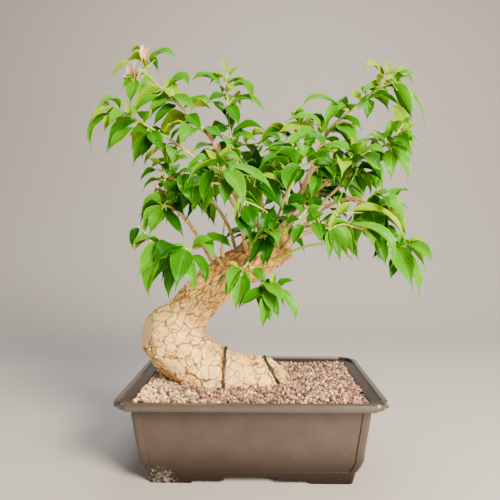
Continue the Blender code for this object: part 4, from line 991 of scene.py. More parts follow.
# Colours in order: dark and light plate, crack, cut face, blush, upper bark, and the painted shade at the
# foot of flake steps
young_bark = bark_finish("young bougainvillea bark", "#ae8c46", "#e0c47c", "#6b4a26", "#c08548", "#c89a58",
                         "#b89450", "#7c6034")
dress("bough_bark", mesh, young_bark, "bark", woody, sharp=BARK_SHARP)

# %% [markdown]
# ## The twigs
# Each bough ends in a stem that carries one mass of foliage, and side twigs leave that stem. Where a
# twig goes comes from its own end point and a little chance, so the same numbers always grow the
# same plant. Leaves are set round a twig by the golden angle, as in nature, so each gets light.
#
# A row names the bough, the seed of its chance, the stem's route, the leaves on the stem as first
# place, count, length and turn, and then the side twigs with their own leaves.

# %% Masses of foliage
MASSES = {
    "foliage_upper_left": (
        "bough_left", 11, ((-0.056, -0.013, 0.419), (-0.073, -0.015, 0.435), (-0.099, -0.020, 0.463),
                           (-0.119, -0.025, 0.479), (-0.136, -0.030, 0.496)), (0.30, 12, 0.046, 40),
        ((0.40, (-0.074, -0.028, 0.454), 0.5, 3, 0.036, 0),
         (0.14, (-0.086, -0.034, 0.422), 0.6, 3, 0.043, 200),
         (0.94, (-0.136, -0.031, 0.521), 0.3, 3, 0.030, 90))),
    "foliage_left_arm": (
        "bough_left_arm", 12, ((-0.094, -0.030, 0.404), (-0.128, -0.040, 0.424),
                               (-0.150, -0.045, 0.435), (-0.166, -0.050, 0.445)),
        (0.30, 10, 0.047, 100),
        ((0.22, (-0.116, -0.012, 0.400), 0.5, 3, 0.040, 30),
         (0.10, (-0.094, -0.060, 0.376), 0.5, 3, 0.042, 120))),
    "foliage_left_spur": (
        "bough_left_spur", 13, ((-0.101, -0.046, 0.325), (-0.110, -0.050, 0.327)),
        (0.50, 6, 0.044, 20),
        ((0.10, (-0.108, -0.030, 0.368), 0.45, 5, 0.034, 80),
         (0.30, (-0.126, -0.016, 0.336), 0.5, 3, 0.038, 10))),
    "foliage_lower_left": (
        "bough_lower_left", 14, ((-0.075, -0.061, 0.272), (-0.093, -0.066, 0.274),
                                 (-0.108, -0.070, 0.277)), (0.20, 9, 0.054, 60),
        ((0.85, (-0.124, -0.062, 0.288), 0.5, 3, 0.032, 0),)),
    "foliage_front": (
        "bough_front", 15, ((-0.034, -0.085, 0.361), (-0.037, -0.090, 0.369)),
        (0.60, 6, 0.052, 250),
        ((0.10, (-0.006, -0.082, 0.328), 0.5, 4, 0.042, 0),
         (0.20, (0.008, -0.074, 0.356), 0.5, 3, 0.044, 70),
         (0.25, (-0.064, -0.078, 0.348), 0.5, 4, 0.040, 140),
         (0.40, (-0.028, -0.066, 0.394), 0.5, 3, 0.038, 30))),
    "foliage_top": (
        "bough_centre", 16, ((-0.018, 0.010, 0.380), (-0.027, 0.010, 0.411), (-0.031, 0.010, 0.444),
                             (-0.033, 0.010, 0.474), (-0.034, 0.010, 0.504)),
        (0.25, 15, 0.046, 0),
        ((0.08, (-0.052, 0.024, 0.372), 0.5, 4, 0.042, 50),
         (0.12, (0.022, 0.004, 0.380), 0.5, 4, 0.042, 10),
         (0.30, (0.016, 0.012, 0.412), 0.5, 4, 0.044, 80),
         (0.28, (-0.062, 0.014, 0.402), 0.5, 3, 0.040, 170))),
    "foliage_upper_right": (
        "bough_right", 17, ((0.086, -0.010, 0.400), (0.101, -0.015, 0.426), (0.124, -0.020, 0.445),
                            (0.149, -0.025, 0.466), (0.174, -0.030, 0.490)), (0.30, 13, 0.049, 80),
        ((0.42, (0.128, -0.038, 0.423), 0.5, 3, 0.045, 0),
         (0.80, (0.178, -0.046, 0.474), 0.5, 3, 0.044, 120),
         (0.12, (0.106, 0.016, 0.402), 0.5, 3, 0.042, 60))),
    "foliage_right_top": (
        "bough_right_top", 18, ((0.060, 0.000, 0.414), (0.057, -0.004, 0.426)),
        (0.40, 6, 0.035, 15),
        ((0.50, (0.071, -0.024, 0.436), 0.5, 3, 0.034, 40),
         (0.30, (0.034, -0.012, 0.422), 0.5, 4, 0.036, 100),
         (0.15, (0.030, -0.024, 0.396), 0.5, 3, 0.038, 10))),
    "foliage_right_outer": (
        "bough_right_outer", 19, ((0.155, -0.036, 0.395), (0.168, -0.040, 0.403),
                                  (0.178, -0.041, 0.415), (0.185, -0.042, 0.425)),
        (0.30, 9, 0.043, 70),
        ((0.35, (0.166, -0.060, 0.392), 0.5, 3, 0.046, 0),
         (0.40, (0.156, -0.016, 0.410), 0.5, 3, 0.040, 50))),
    "foliage_right_centre": (
        "bough_right_front", 20, ((0.123, -0.053, 0.370), (0.130, -0.056, 0.386)),
        (0.40, 7, 0.048, 45),
        ((0.20, (0.128, -0.078, 0.358), 0.5, 4, 0.042, 160),
         (0.10, (0.100, -0.066, 0.376), 0.5, 3, 0.040, 20))),
    "foliage_front_right": (
        "bough_front_right", 21, ((0.054, -0.070, 0.366), (0.059, -0.073, 0.373)),
        (0.45, 5, 0.046, 0),
        ((0.40, (0.048, -0.070, 0.394), 0.5, 4, 0.037, 60),
         (0.20, (0.030, -0.066, 0.364), 0.5, 3, 0.040, 100),
         (0.30, (0.082, -0.068, 0.376), 0.5, 3, 0.038, 30))),
    "foliage_right_middle": (
        "bough_right_middle", 22, ((0.083, -0.077, 0.298), (0.091, -0.080, 0.297)),
        (0.45, 7, 0.043, 200),
        ((0.20, (0.062, -0.076, 0.324), 0.5, 4, 0.040, 0),
         (0.30, (0.104, -0.076, 0.326), 0.5, 3, 0.040, 80))),
    "foliage_low_right": (
        "bough_low_right", 23, ((0.148, -0.050, 0.326), (0.163, -0.055, 0.316)),
        (0.25, 8, 0.054, 10),
        ((0.20, (0.148, -0.070, 0.342), 0.5, 3, 0.042, 90),
         (0.50, (0.176, -0.034, 0.332), 0.5, 3, 0.044, 150))),
    "foliage_droop_right": (
        "bough_droop_right", 24, ((0.171, -0.050, 0.275), (0.192, -0.055, 0.279)),
        (0.30, 7, 0.048, 0),
        ((0.30, (0.180, -0.026, 0.288), 0.5, 3, 0.040, 60),
         (0.50, (0.168, -0.064, 0.258), 0.5, 2, 0.050, 0))),
    "foliage_hanging": (
        "bough_hanging", 25, ((-0.005, -0.071, 0.255), (-0.012, -0.079, 0.248)),
        (0.70, 5, 0.045, 130),
        ((0.30, (0.020, -0.080, 0.228), 0.65, 6, 0.045, 0),)),
    "foliage_collar": (
        "bough_collar", 26, ((0.016, -0.056, 0.292), (0.017, -0.062, 0.290)),
        (0.55, 5, 0.039, 250),
        ((0.30, (0.030, -0.060, 0.310), 0.5, 3, 0.034, 0),)),
    "foliage_inner_left": (
        "bough_inner_left", 32, ((-0.066, -0.040, 0.350), (-0.076, -0.044, 0.345)),
        (0.30, 6, 0.042, 0),
        ((0.20, (-0.070, -0.030, 0.370), 0.5, 3, 0.038, 40),
         (0.30, (-0.062, -0.060, 0.340), 0.5, 3, 0.038, 100))),
    "foliage_inner_right": (
        "bough_inner_right", 33, ((0.012, -0.040, 0.350), (0.014, -0.042, 0.362)),
        (0.35, 6, 0.042, 60),
        ((0.15, (0.030, -0.046, 0.344), 0.5, 3, 0.042, 0),
         (0.40, (-0.006, -0.044, 0.370), 0.5, 3, 0.040, 90))),
    "foliage_inner_far": (
        "bough_inner_far", 34, ((0.088, 0.026, 0.348), (0.100, 0.026, 0.358)),
        (0.30, 7, 0.044, 30),
        ((0.20, (0.086, 0.008, 0.364), 0.5, 3, 0.042, 0),
         (0.30, (0.116, 0.020, 0.342), 0.5, 3, 0.044, 120))),
    "foliage_back_left": (
        "bough_back_left", 27, ((-0.100, 0.080, 0.355), (-0.118, 0.092, 0.366)),
        (0.35, 6, 0.048, 0),
        ((0.20, (-0.132, 0.066, 0.340), 0.5, 4, 0.045, 0),
         (0.30, (-0.090, 0.108, 0.370), 0.5, 4, 0.045, 60),
         (0.60, (-0.122, 0.074, 0.396), 0.5, 4, 0.042, 120),
         (0.10, (-0.066, 0.088, 0.346), 0.5, 4, 0.045, 180))),
    "foliage_back_top": (
        "bough_back_top", 28, ((0.000, 0.070, 0.390), (0.008, 0.074, 0.410)),
        (0.35, 6, 0.047, 90),
        ((0.30, (0.040, 0.086, 0.398), 0.5, 4, 0.045, 0),
         (0.25, (-0.040, 0.080, 0.402), 0.5, 4, 0.045, 60),
         (0.10, (0.004, 0.102, 0.376), 0.5, 4, 0.045, 120),
         (0.10, (0.020, 0.042, 0.374), 0.5, 3, 0.042, 30))),
    "foliage_back_right": (
        "bough_back_right", 29, ((0.120, 0.078, 0.374), (0.136, 0.086, 0.388)),
        (0.35, 6, 0.048, 45),
        ((0.30, (0.154, 0.064, 0.370), 0.5, 4, 0.045, 0),
         (0.20, (0.104, 0.106, 0.378), 0.5, 4, 0.045, 90),
         (0.70, (0.126, 0.070, 0.416), 0.5, 4, 0.042, 10),
         (0.10, (0.086, 0.088, 0.354), 0.5, 4, 0.045, 200))),
    "foliage_back_low_right": (
        "bough_back_low_right", 30, ((0.138, 0.072, 0.306), (0.156, 0.082, 0.303)),
        (0.35, 6, 0.049, 0),
        ((0.20, (0.164, 0.056, 0.294), 0.5, 4, 0.046, 70),
         (0.30, (0.132, 0.104, 0.310), 0.5, 4, 0.046, 150),
         (0.40, (0.166, 0.076, 0.326), 0.5, 3, 0.044, 0))),
    "foliage_back_low": (
        "bough_back_low", 31, ((0.020, 0.090, 0.288), (0.020, 0.100, 0.292)),
        (0.35, 6, 0.046, 30),
        ((0.20, (-0.008, 0.096, 0.286), 0.5, 4, 0.044, 0),
         (0.20, (0.052, 0.102, 0.296), 0.5, 4, 0.046, 70),
         (0.30, (0.022, 0.094, 0.322), 0.5, 3, 0.044, 120))),
}

# %% Growing rule
TWIG_STEP = 0.026
TWIG_FEEL = 0.02
STEEP = 0.9
SIDE_TWIG_RADIUS = 0.0013
TWIG_TIP_RADIUS = 0.0008
TWIG_AHEAD = 0.175
TWIG_BOW_PLACE = 0.35
TWIG_WANDER = 0.06
TWIG_LIFT = 0.036
LEAF_TURN, LEAF_TURN_CHANCE = 137.5, 18.0
LEAF_SPREAD = (68.0, 38.0, 8.0)
LEAF_SCALE, LEAF_SCALE_CHANCE = 1.28, 0.12
LEAF_TIP_SHRINK = 0.30
LEAF_DROOP, LEAF_DROOP_CHANCE, LEAF_FOOT_DROOP = 0.95, 0.3, 0.30
LEAF_WIDTH, LEAF_WIDEST, LEAF_FOLD = 0.48, 0.44, 0.30
LEAF_HALF_THICK = 0.0006
LEAF_FACING_OUT = 0.8
TRIES, TRY_TURN = 8, 24.0
ROUGH_FACES = ((0, 4, 1), (1, 4, 3), (3, 4, 2), (2, 4, 0), (0, 1, 5), (1, 3, 5), (3, 2, 5), (2, 0, 5))


class Twig:
    """A twig's route, its radii and the leaves that it carries."""

    def __init__(self, route, foot, tip, leaves):
        self.route = [Vector(p) for p in route]
        self.radii = (foot, tip)
        self.leaves = leaves
        span = sum((b - a).length for a, b in zip(self.route, self.route[1:]))
        steps = max(2, round(span / TWIG_STEP))
        self.places = [curve_point(self.route, i / steps) for i in range(steps + 1)]

    def at(self, share):
        """Point at a share of the twig's run, and the way that the twig goes there."""
        place = share * (len(self.places) - 1)
        k = min(int(place), len(self.places) - 2)
        here = self.places[k].lerp(self.places[k + 1], place - k)
        ahead = curve_point(self.route, min(share + TWIG_FEEL, 1.0))
        behind = curve_point(self.route, max(share - TWIG_FEEL, 0.0))
        return here, (ahead - behind).normalized()


def plan_twigs(name):
    """Stem and side twigs of one mass, and its chance."""
    bough, seed, route, own, sides = MASSES[name]
    chance = random.Random(seed)
    start = ROUTES[bough][-1]
    stem = Twig([start] + [HOME + Vector(p) for p in route], BOUGHS[bough][3], TWIG_TIP_RADIUS, own)
    twigs = [stem]
    for share, end, first, count, length, turn in sides:
        foot, ahead = stem.at(share)
        end = HOME + Vector(end)
        reach = (end - foot).length
        wander = Vector((chance.uniform(-1, 1), chance.uniform(-1, 1), 0.0)) * TWIG_WANDER
        bow = foot + (end - foot) * TWIG_BOW_PLACE + (ahead * TWIG_AHEAD + wander + UP * TWIG_LIFT) * reach
        twigs.append(Twig([foot, bow, end], SIDE_TWIG_RADIUS, TWIG_TIP_RADIUS, (first, count, length, turn)))
    return twigs, chance


def leaf_places(twig, chance):
    """The places that the rule tries for each leaf: root, direction, outward side, length, droop."""
    first, count, length, turn = twig.leaves
    for i in range(count):
        share = first + (1.0 - first) * (i + 0.5) / count
        root, ahead = twig.at(share)
        side = ahead.cross(UP if abs(ahead.z) < STEEP else Vector((0, 1, 0))).normalized()
        other = side.cross(ahead).normalized()
        angle = math.radians(turn + LEAF_TURN * i + LEAF_TURN_CHANCE * chance.uniform(-1, 1))
        spread = LEAF_SPREAD[0] + (LEAF_SPREAD[1] - LEAF_SPREAD[0]) * share
        spread = math.radians(spread + LEAF_SPREAD[2] * chance.uniform(-1, 1))
        size = length * (1.0 - LEAF_TIP_SHRINK * (i / max(count - 1, 1)) ** 2)
        size *= LEAF_SCALE * (1.0 + LEAF_SCALE_CHANCE * chance.uniform(-1, 1))
        droop = LEAF_DROOP * (1.0 + LEAF_DROOP_CHANCE * chance.uniform(-1, 1))
        tries = []
        for attempt in range(TRIES):
            step = (attempt + 1) // 2 * (1 if attempt % 2 else -1)
            bearing = angle + math.radians(TRY_TURN) * step
            out = side * math.cos(bearing) + other * math.sin(bearing)
            run = (ahead * math.cos(spread) + out * math.sin(spread)).normalized()
            tries.append((root - run * SIDE_TWIG_RADIUS, run, out, size, droop))
        yield share, tries


class Leaf:
    """One leaf: root, middle and tip of its midrib, the way its face looks, width and tone."""

    def __init__(self, root, middle, tip, face, width, tone):
        self.root, self.middle, self.tip = root, middle, tip
        chord = (tip - root).normalized()
        self.face = (face - chord * face.dot(chord)).normalized()
        self.width = width
        self.tone = tone
        side = chord.cross(self.face) * width / 2
        lift = self.face * width / 2 * LEAF_FOLD
        thick = self.face * LEAF_HALF_THICK
        corners = [root, middle + side + lift, middle - side + lift, tip, middle + thick, middle - thick]
        self.solid = BVHTree.FromPolygons([tuple(c) for c in corners], ROUGH_FACES)


def rule_leaf(root, run, out, size, droop, tone):
    """Leaf that the rule sets: it leaves its twig along run and its tip falls."""
    bent = (run - UP * droop * LEAF_FOOT_DROOP).normalized()
    fallen = (run - UP * droop).normalized()
    middle = root + bent * size * LEAF_WIDEST
    tip = middle + fallen * size * (1.0 - LEAF_WIDEST)
    return Leaf(root, middle, tip, UP + out * LEAF_FACING_OUT, size * LEAF_WIDTH, tone)


PLANS = {name: plan_twigs(name) for name in MASSES}
print(sum(len(twigs) for twigs, _ in PLANS.values()), "twigs in", len(PLANS), "masses")

# %% [markdown]
# ## The leaves that the photograph shows
# The front of the crown can be read leaf by leaf. A row gives a leaf's root and tip in the
# photograph, then how far its tip comes forward in millimetres, its tone, and sometimes the place
# that it arches over and its width in millimetres. The root takes its distance from the twig that
# passes behind it, so each leaf is tied to real wood.
#
# Tones are y for young, b for bright, m for middle, d for deep green, p for the pink bracts of a
# bud, and r for a leaf that has dried.

# %% Seen leaves
SEEN = {
    "foliage_upper_left": (
        ((131.5, 62), (111, 77), 6, "y"), ((149, 66), (178, 57.5), 4, "b", (161, 53)),
        ((151.5, 78), (139, 90), 8, "b"), ((136, 78), (130, 104), 8, "b"), ((175.5, 101), (166, 75), -4, "y"),
        ((163, 92), (188, 86), 6, "b", (182, 79)), ((160, 94), (131, 116), 8, "b", None, 15),
        ((177, 104), (152, 126), 10, "m"), ((182, 110), (213, 103), 8, "b", (198, 100)),
        ((194, 125), (172, 152), 10, "y", None, 14), ((203, 128), (225, 140), 6, "m"),
        ((170, 97), (197, 111), 14, "b"), ((186, 114), (203, 133), 12, "m"),
        ((140, 70), (122, 88), 10, "b"), ((155, 84), (140, 72), -6, "y"),
        ((144.5, 62), (142.5, 43), 4, "p", None, 11), ((146, 63), (148, 47), 7, "p", None, 9),
        ((143, 62), (139, 49), 8, "p", None, 6),
        ((132, 83), (127, 65), 8, "p", None, 9), ((134, 84), (134, 62), 12, "p", None, 9),
        ((136, 83), (140, 67), 8, "p", None, 8), ((131, 84), (122, 75), 12, "p", None, 7),
        ((134, 86), (128, 76), 15, "y", None, 7)),
    "foliage_left_arm": (
        ((113, 112), (90, 149), 8, "b", (94, 126), 16), ((135, 126), (105, 153), 12, "b", None, 17),
        ((118, 114), (103, 133), 14, "y"), ((112, 109), (97, 100), 0, "y", None, 8),
        ((131, 118), (126, 98), -4, "y", None, 9), ((160, 130), (140, 158), 6, "d"),
        ((124, 117), (104, 113), 8, "b"), ((148, 130), (128, 136), 14, "m"),
        ((150, 131), (164, 153), 12, "m")),
    "foliage_left_spur": (
        ((163, 205), (141, 208), 8, "b", (152, 199)), ((162.7, 208), (149, 235), 14, "b", None, 18),
        ((165.7, 209), (185, 238), 12, "d", None, 14), ((163.7, 204), (184, 193), 4, "b"),
        ((172, 203), (185, 216), 12, "d"), ((157, 169), (139, 181), 8, "m"), ((173, 162), (191, 158), 4, "b"),
        ((162, 166), (147, 158), -4, "y", None, 9), ((165, 180), (183, 200), 12, "m"),
        ((158, 181), (166, 175), 8, "r", None, 4), ((168, 176), (174, 182), 8, "r", None, 4)),
    "foliage_lower_left": (
        ((138, 226), (132, 249), 8, "d"), ((147, 239), (133, 251), 6, "y", None, 9),
        ((163, 249), (148, 300), 10, "b", (150, 270), 21), ((186, 252), (168, 300), 10, "m", (172, 274), 19),
        ((191, 254), (206, 286), 14, "m", (203, 266), 15), ((188, 253), (196, 294), 18, "b", None, 14),
        ((190, 250), (214, 260), 10, "b", (205, 243)), ((186, 249), (171, 245), 6, "b"),
        ((200, 244), (233, 248), 6, "m", (217, 240)), ((172, 248), (158, 262), 12, "m")),
    "foliage_front": (
        ((211, 160), (185, 176), 10, "b", (198, 160), 15), ((215, 168), (203, 204), 14, "m", (206, 184), 17),
        ((221, 169), (244, 209), 14, "b", (236, 184), 24), ((219, 165), (245, 165), 6, "b", (229, 155), 14),
        ((223, 168), (277, 194), 8, "b", (250, 172), 17), ((197, 184), (195, 211), 8, "m"),
        ((183, 172), (192, 204), 10, "m"), ((244, 204), (256, 233), 10, "d"),
        ((240, 214), (251, 241), 10, "d"),
        ((267, 212), (261, 234), 10, "d"), ((254, 186), (285, 214), 10, "d", (272, 194)),
        ((217, 164), (204, 147), -4, "y", None, 11), ((222, 160), (232, 143), -2, "y", None, 10),
        ((230, 176), (224, 206), 16, "m"), ((205, 178), (181, 192), 12, "m")),
    "foliage_top": (
        ((223, 86), (191, 80), 4, "b", (206, 77)), ((225, 78), (212, 73), 0, "y", None, 10),
        ((228, 76), (241, 66), 0, "y", None, 10), ((229, 90), (253, 104), 8, "b", (245, 86)),
        ((228, 116), (269, 114), 6, "b", (245, 99), 20), ((229.7, 138), (266, 130), 6, "m", (248, 127)),
        ((231, 137), (258, 141), 12, "b"), ((227, 116), (211, 100), 4, "d"),
        ((227, 74), (222, 57), 0, "y", None, 9),
        ((227, 96), (205, 104), 10, "m"), ((228, 104), (240, 126), 14, "m"),
        ((229, 128), (209, 137), 10, "d"),
        ((226, 84), (236, 92), 10, "y", None, 10), ((230, 142), (213, 158), 12, "m")),
    "foliage_upper_right": (
        ((389, 78), (383, 58), 0, "y", None, 10), ((389, 77), (410, 67), 0, "y", None, 12),
        ((389, 79), (416, 73), 6, "b", None, 12), ((388, 80), (401, 88), 10, "b", None, 11),
        ((384, 82), (363, 68), 4, "y", (374, 66)), ((381, 86), (360, 95), 10, "b"),
        ((379, 89), (428, 124), 6, "b", (407, 90), 14), ((356, 109), (408, 112), 8, "b", (380, 96), 18),
        ((345, 110), (300, 106), 6, "b", (320, 98), 15), ((350, 107), (324, 130), 12, "b", (334, 112), 22),
        ((333, 129), (357, 155), 14, "m", (348, 138), 18), ((368, 98), (367, 120), 10, "m"),
        ((340, 118), (363, 130), 12, "m"), ((362, 102), (345, 88), -4, "y"),
        ((368, 113), (365, 104), 12, "p", None, 5), ((368, 113), (370, 105), 12, "p", None, 4)),
    "foliage_right_top": (
        ((322, 129), (284, 121), 6, "b", (308, 117), 14), ((312, 131), (277, 132), 8, "y"),
        ((311, 130), (298, 140), 10, "y", None, 10), ((311, 127), (308, 109), 0, "y", None, 9),
        ((316, 130), (291, 144), 12, "b"), ((318, 134), (330, 118), 2, "b"),
        ((313, 133), (304, 154), 12, "m")),
    "foliage_right_centre": (
        ((356, 155.5), (314, 160), 8, "b", (336, 146), 17), ((360, 155), (386, 154), 6, "b", (374, 149)),
        ((362, 157), (383, 185), 12, "b", (377, 167), 16), ((352, 156), (341, 187), 12, "m", (343, 170)),
        ((354, 165), (365, 196), 12, "m"), ((357, 153), (350, 135), -2, "y", None, 10),
        ((360, 152), (368, 140), 0, "y", None, 9), ((350, 168), (331, 178), 12, "d"),
        ((356, 160), (385, 195), 10, "r", (374, 171), 6)),
    "foliage_right_outer": (
        ((387, 140), (392, 117), -2, "b", None, 12), ((400.6, 133), (419, 122), 2, "y", None, 9),
        ((400, 133), (414, 131), 4, "y", None, 8), ((386, 145), (366, 134), 4, "b"),
        ((391, 142), (416, 147), 8, "b", (404, 137)), ((388, 147), (409, 181), 12, "b", (403, 160), 17),
        ((380, 150), (372, 171), 12, "m"), ((396, 137), (419, 140), 8, "b")),
    "foliage_inner_right": (
        ((290, 146), (268, 166), 12, "b", (278, 149)),
        ((261, 144), (283, 145), 6, "m", (272, 137)), ((286, 176), (268, 188), 8, "d"),
        ((283, 152), (262, 152), 4, "d"), ((292, 150), (300, 136), 2, "y", None, 10),
        ((281, 196), (263, 206), 8, "d"), ((279, 178), (259, 172), 2, "d"),
        ((296, 205), (281, 216), 12, "m")),
    "foliage_front_right": (
        ((303, 142), (328, 149), 6, "m", (316, 137)), ((317, 167), (336, 185), 8, "d"),
        ((312, 166), (338, 166), 4, "m"), ((286, 204), (312, 200), 8, "d"), ((318, 174), (311, 200), 12, "m"),
        ((322, 171), (345, 176), 8, "d"), ((305, 158), (296, 140), 0, "b"), ((306, 163), (322, 152), 2, "m"),
        ((313, 161), (351, 152), 14, "b", (330, 147), 14), ((317, 166), (335, 182), 16, "b", (330, 168), 13),
        ((301, 164), (287, 193), 22, "m", (290, 176), 24), ((303, 168), (294, 186), 8, "d")),
    "foliage_right_middle": (
        ((302, 223), (292, 246), 8, "m"), ((315, 226), (328, 253), 10, "m", (325, 236), 15),
        ((329.7, 228), (341, 263), 10, "m", None, 13), ((329, 229), (329, 261), 12, "b", None, 13),
        ((330, 229), (336, 213), -2, "y", None, 10), ((305, 222), (326, 213), 4, "m"),
        ((337, 216), (352, 201), 0, "y"), ((345, 213), (409, 244), 6, "y", (382, 212), 15),
        ((344, 224), (394, 268), 8, "b", (384, 235), 17), ((318, 224), (310, 205), 2, "m"),
        ((312, 221), (323, 244), 12, "m", None, 13), ((306, 214), (323, 206), 6, "b", None, 11),
        ((299, 218), (285, 224), 8, "d", None, 12), ((303, 214), (290, 203), 10, "m", None, 12),
        ((322, 222), (318, 240), 14, "d", None, 12)),
    "foliage_low_right": (
        ((379, 196), (364, 212), 8, "m"), ((381, 196), (404, 224), 8, "b", (396, 206)),
        ((376, 238), (386, 266), 10, "m"), ((372, 200), (392, 190), 2, "b"),
        ((366, 204), (352, 222), 10, "m"),
        ((385, 205), (409, 208), 8, "m")),
    "foliage_droop_right": (
        ((393, 250), (421, 297), 8, "b", (413, 268), 21), ((393, 247), (410, 243), 4, "m"),
        ((406, 247), (408, 262), 10, "m", None, 11), ((410, 245), (430, 258), 6, "b"),
        ((399, 244), (403, 230), 0, "b", None, 10), ((409, 241), (424, 241), 4, "y", None, 9),
        ((396, 254), (390, 280), 10, "m", None, 14), ((388, 246), (372, 258), 10, "d")),
    "foliage_hanging": (
        ((239, 268), (228, 262), 4, "y", None, 8), ((239, 271), (224, 297), 8, "m", None, 15),
        ((241, 274), (235, 311), 10, "b", None, 19), ((254, 267), (267, 284), 8, "m"),
        ((266, 290), (240, 306), 8, "m"), ((268, 291), (262, 329), 10, "b", None, 18),
        ((270, 292), (279, 319), 12, "m", None, 13), ((275, 288), (297, 323), 8, "b", (290, 302), 15),
        ((276, 287), (295, 280), 4, "m"), ((272, 284), (275, 271), 0, "y", None, 9)),
    "foliage_collar": (
        ((264.5, 236), (247, 267), 8, "d", None, 13), ((265, 238), (263, 268), 10, "d", None, 12),
        ((266, 237), (282, 247), 8, "m"), ((262, 237), (242, 241), 6, "d"),
        ((282, 226), (288, 235), 4, "y", None, 7), ((268, 232), (285, 219), 2, "m")),
}
TONES = {"y": "young", "b": "bright", "m": "middle", "d": "deep", "p": "bract", "r": "dried"}
VIEWER = Vector((0.0, -1.0, 0.0))
MILLIMETRE = 0.001
TWIG_SIGHTS, FIRST_SIGHT = 20, 4
ARCH_PLACE, ARCH_RISE, ARCH_OUT = 0.47, 0.11, 0.08
ARCH_FORWARD = 0.0006
FACING_VIEWER, FACING_OUT = 0.9, 0.4
SEEN_WIDTH, NARROWEST, BROADEST = 0.53, 0.009, 0.022
STALK_GAP = 0.0015


def pixel_of(place):
    """Where a point shows in the photograph."""
    near = TURN.transposed() @ (place - EYE)
    half = PHOTO_SIZE / 2
    return Vector((half + near.x / -near.z * FOCAL_PIXELS, half - near.y / -near.z * FOCAL_PIXELS))


def seen_leaf(twigs, root_pixel, tip_pixel, forward, tone, arch=None, width=None):
    """Leaf between two places of the photograph, rooted beside the nearest twig."""
    shares = [k / TWIG_SIGHTS for k in range(FIRST_SIGHT, TWIG_SIGHTS + 1)]
    places = [twig.at(share)[0] for twig in twigs for share in shares]
    sights = [(pixel_of(place) - Vector(root_pixel), place) for place in places]
    wood = min(sights, key=lambda s: s[0].length)[1]
    depth = wood.y - HOME.y
    root = seen_at(root_pixel, depth)
    tip = seen_at(tip_pixel, depth - forward * MILLIMETRE)
    chord = tip - root
    if arch:
        middle = seen_at(arch, depth - forward * ARCH_FORWARD)
    else:
        level = 1.0 - abs(chord.normalized().z)
        middle = root.lerp(tip, ARCH_PLACE) + UP * chord.length * ARCH_RISE * level
        middle += VIEWER * chord.length * ARCH_OUT
    run = (middle - root).length + (tip - middle).length
    wide = width * MILLIMETRE if width else min(max(run * SEEN_WIDTH, NARROWEST), BROADEST)
    face = UP + VIEWER * FACING_VIEWER + (middle - wood).normalized() * FACING_OUT
    return Leaf(root, middle, tip, face, wide, TONES[tone]), wood


leaves = []
stalks = []
for name, rows in SEEN.items():
    for row in rows:
        leaf, wood_place = seen_leaf(PLANS[name][0], *row)
        leaves.append(leaf)
        if (wood_place - leaf.root).length > STALK_GAP:
            stalks.append((wood_place, leaf.root))
print(len(leaves), "leaves read from the photograph;", len(stalks), "of them on a stalk of their own")

# %% [markdown]
# ## The rest of the leaves
# The back, the sides and the hidden parts of the crown grow by the rule alone. A leaf tries its own
# bearing first and then turns a little to either side, until it lies clear of the limbs, of the
# other masses' twigs and of every leaf that is there already. Where no place is free, that leaf is left out.
#
# A young leaf at a shoot's tip is small and yellow-green, an old one near the wood is large and
# dark. So the tone follows the leaf's place on its twig and how much light its mass gets.

# %% Grow leaves by the rule
LIGHT = {
    "foliage_upper_left": 0.62, "foliage_left_arm": 0.66, "foliage_left_spur": 0.42,
    "foliage_lower_left": 0.40, "foliage_front": 0.45, "foliage_top": 0.55,
    "foliage_upper_right": 0.60, "foliage_right_top": 0.62,
    "foliage_right_outer": 0.60, "foliage_right_centre": 0.48, "foliage_front_right": 0.35,
    "foliage_right_middle": 0.45, "foliage_low_right": 0.48, "foliage_droop_right": 0.48,
    "foliage_hanging": 0.42, "foliage_collar": 0.20, "foliage_inner_left": 0.15, "foliage_inner_right": 0.18,
    "foliage_inner_far": 0.22, "foliage_back_left": 0.50, "foliage_back_top": 0.50,
    "foliage_back_right": 0.50, "foliage_back_low_right": 0.45, "foliage_back_low": 0.30,
}
TONE_STEPS = ((0.27, "deep"), (0.47, "middle"), (0.72, "bright"), (9.0, "young"))
NEAR = 0.075
KEEP_BESIDE_SEEN = 0.74
KEEP_INSIDE = ("foliage_inner_left", "foliage_inner_right", "foliage_inner_far", "foliage_collar",
               "foliage_front_right", "foliage_right_centre")
RULE_SCALE = 0.94
TWIG_CLEARANCE = 1.5
TIP_IS_YOUNGER, TIP_FROM, TONE_CHANCE = 0.34, 0.62, 0.13


def tone_at(light, share, luck):
    """Tone of a leaf from its mass's light, its place on the twig and some luck."""
    value = light + TIP_IS_YOUNGER * (share - TIP_FROM) + TONE_CHANCE * luck
    return next(name for limit, name in TONE_STEPS if value < limit)


def tree_of(mesh):
    """Search tree of a mesh's faces."""
    return BVHTree.FromPolygons([v.co for v in mesh.vertices], [p.vertices for p in mesh.polygons])


def tube_tree(twig):
    """Search tree round a twig, a little wider than the twig."""
    foot, tip = (radius * TWIG_CLEARANCE for radius in twig.radii)
    mesh = strands("reach", [line_of(twig.route, foot, tip, TWIG_STEP)], sides=0)
    shape = tree_of(mesh)
    bpy.data.meshes.remove(mesh)
    return shape


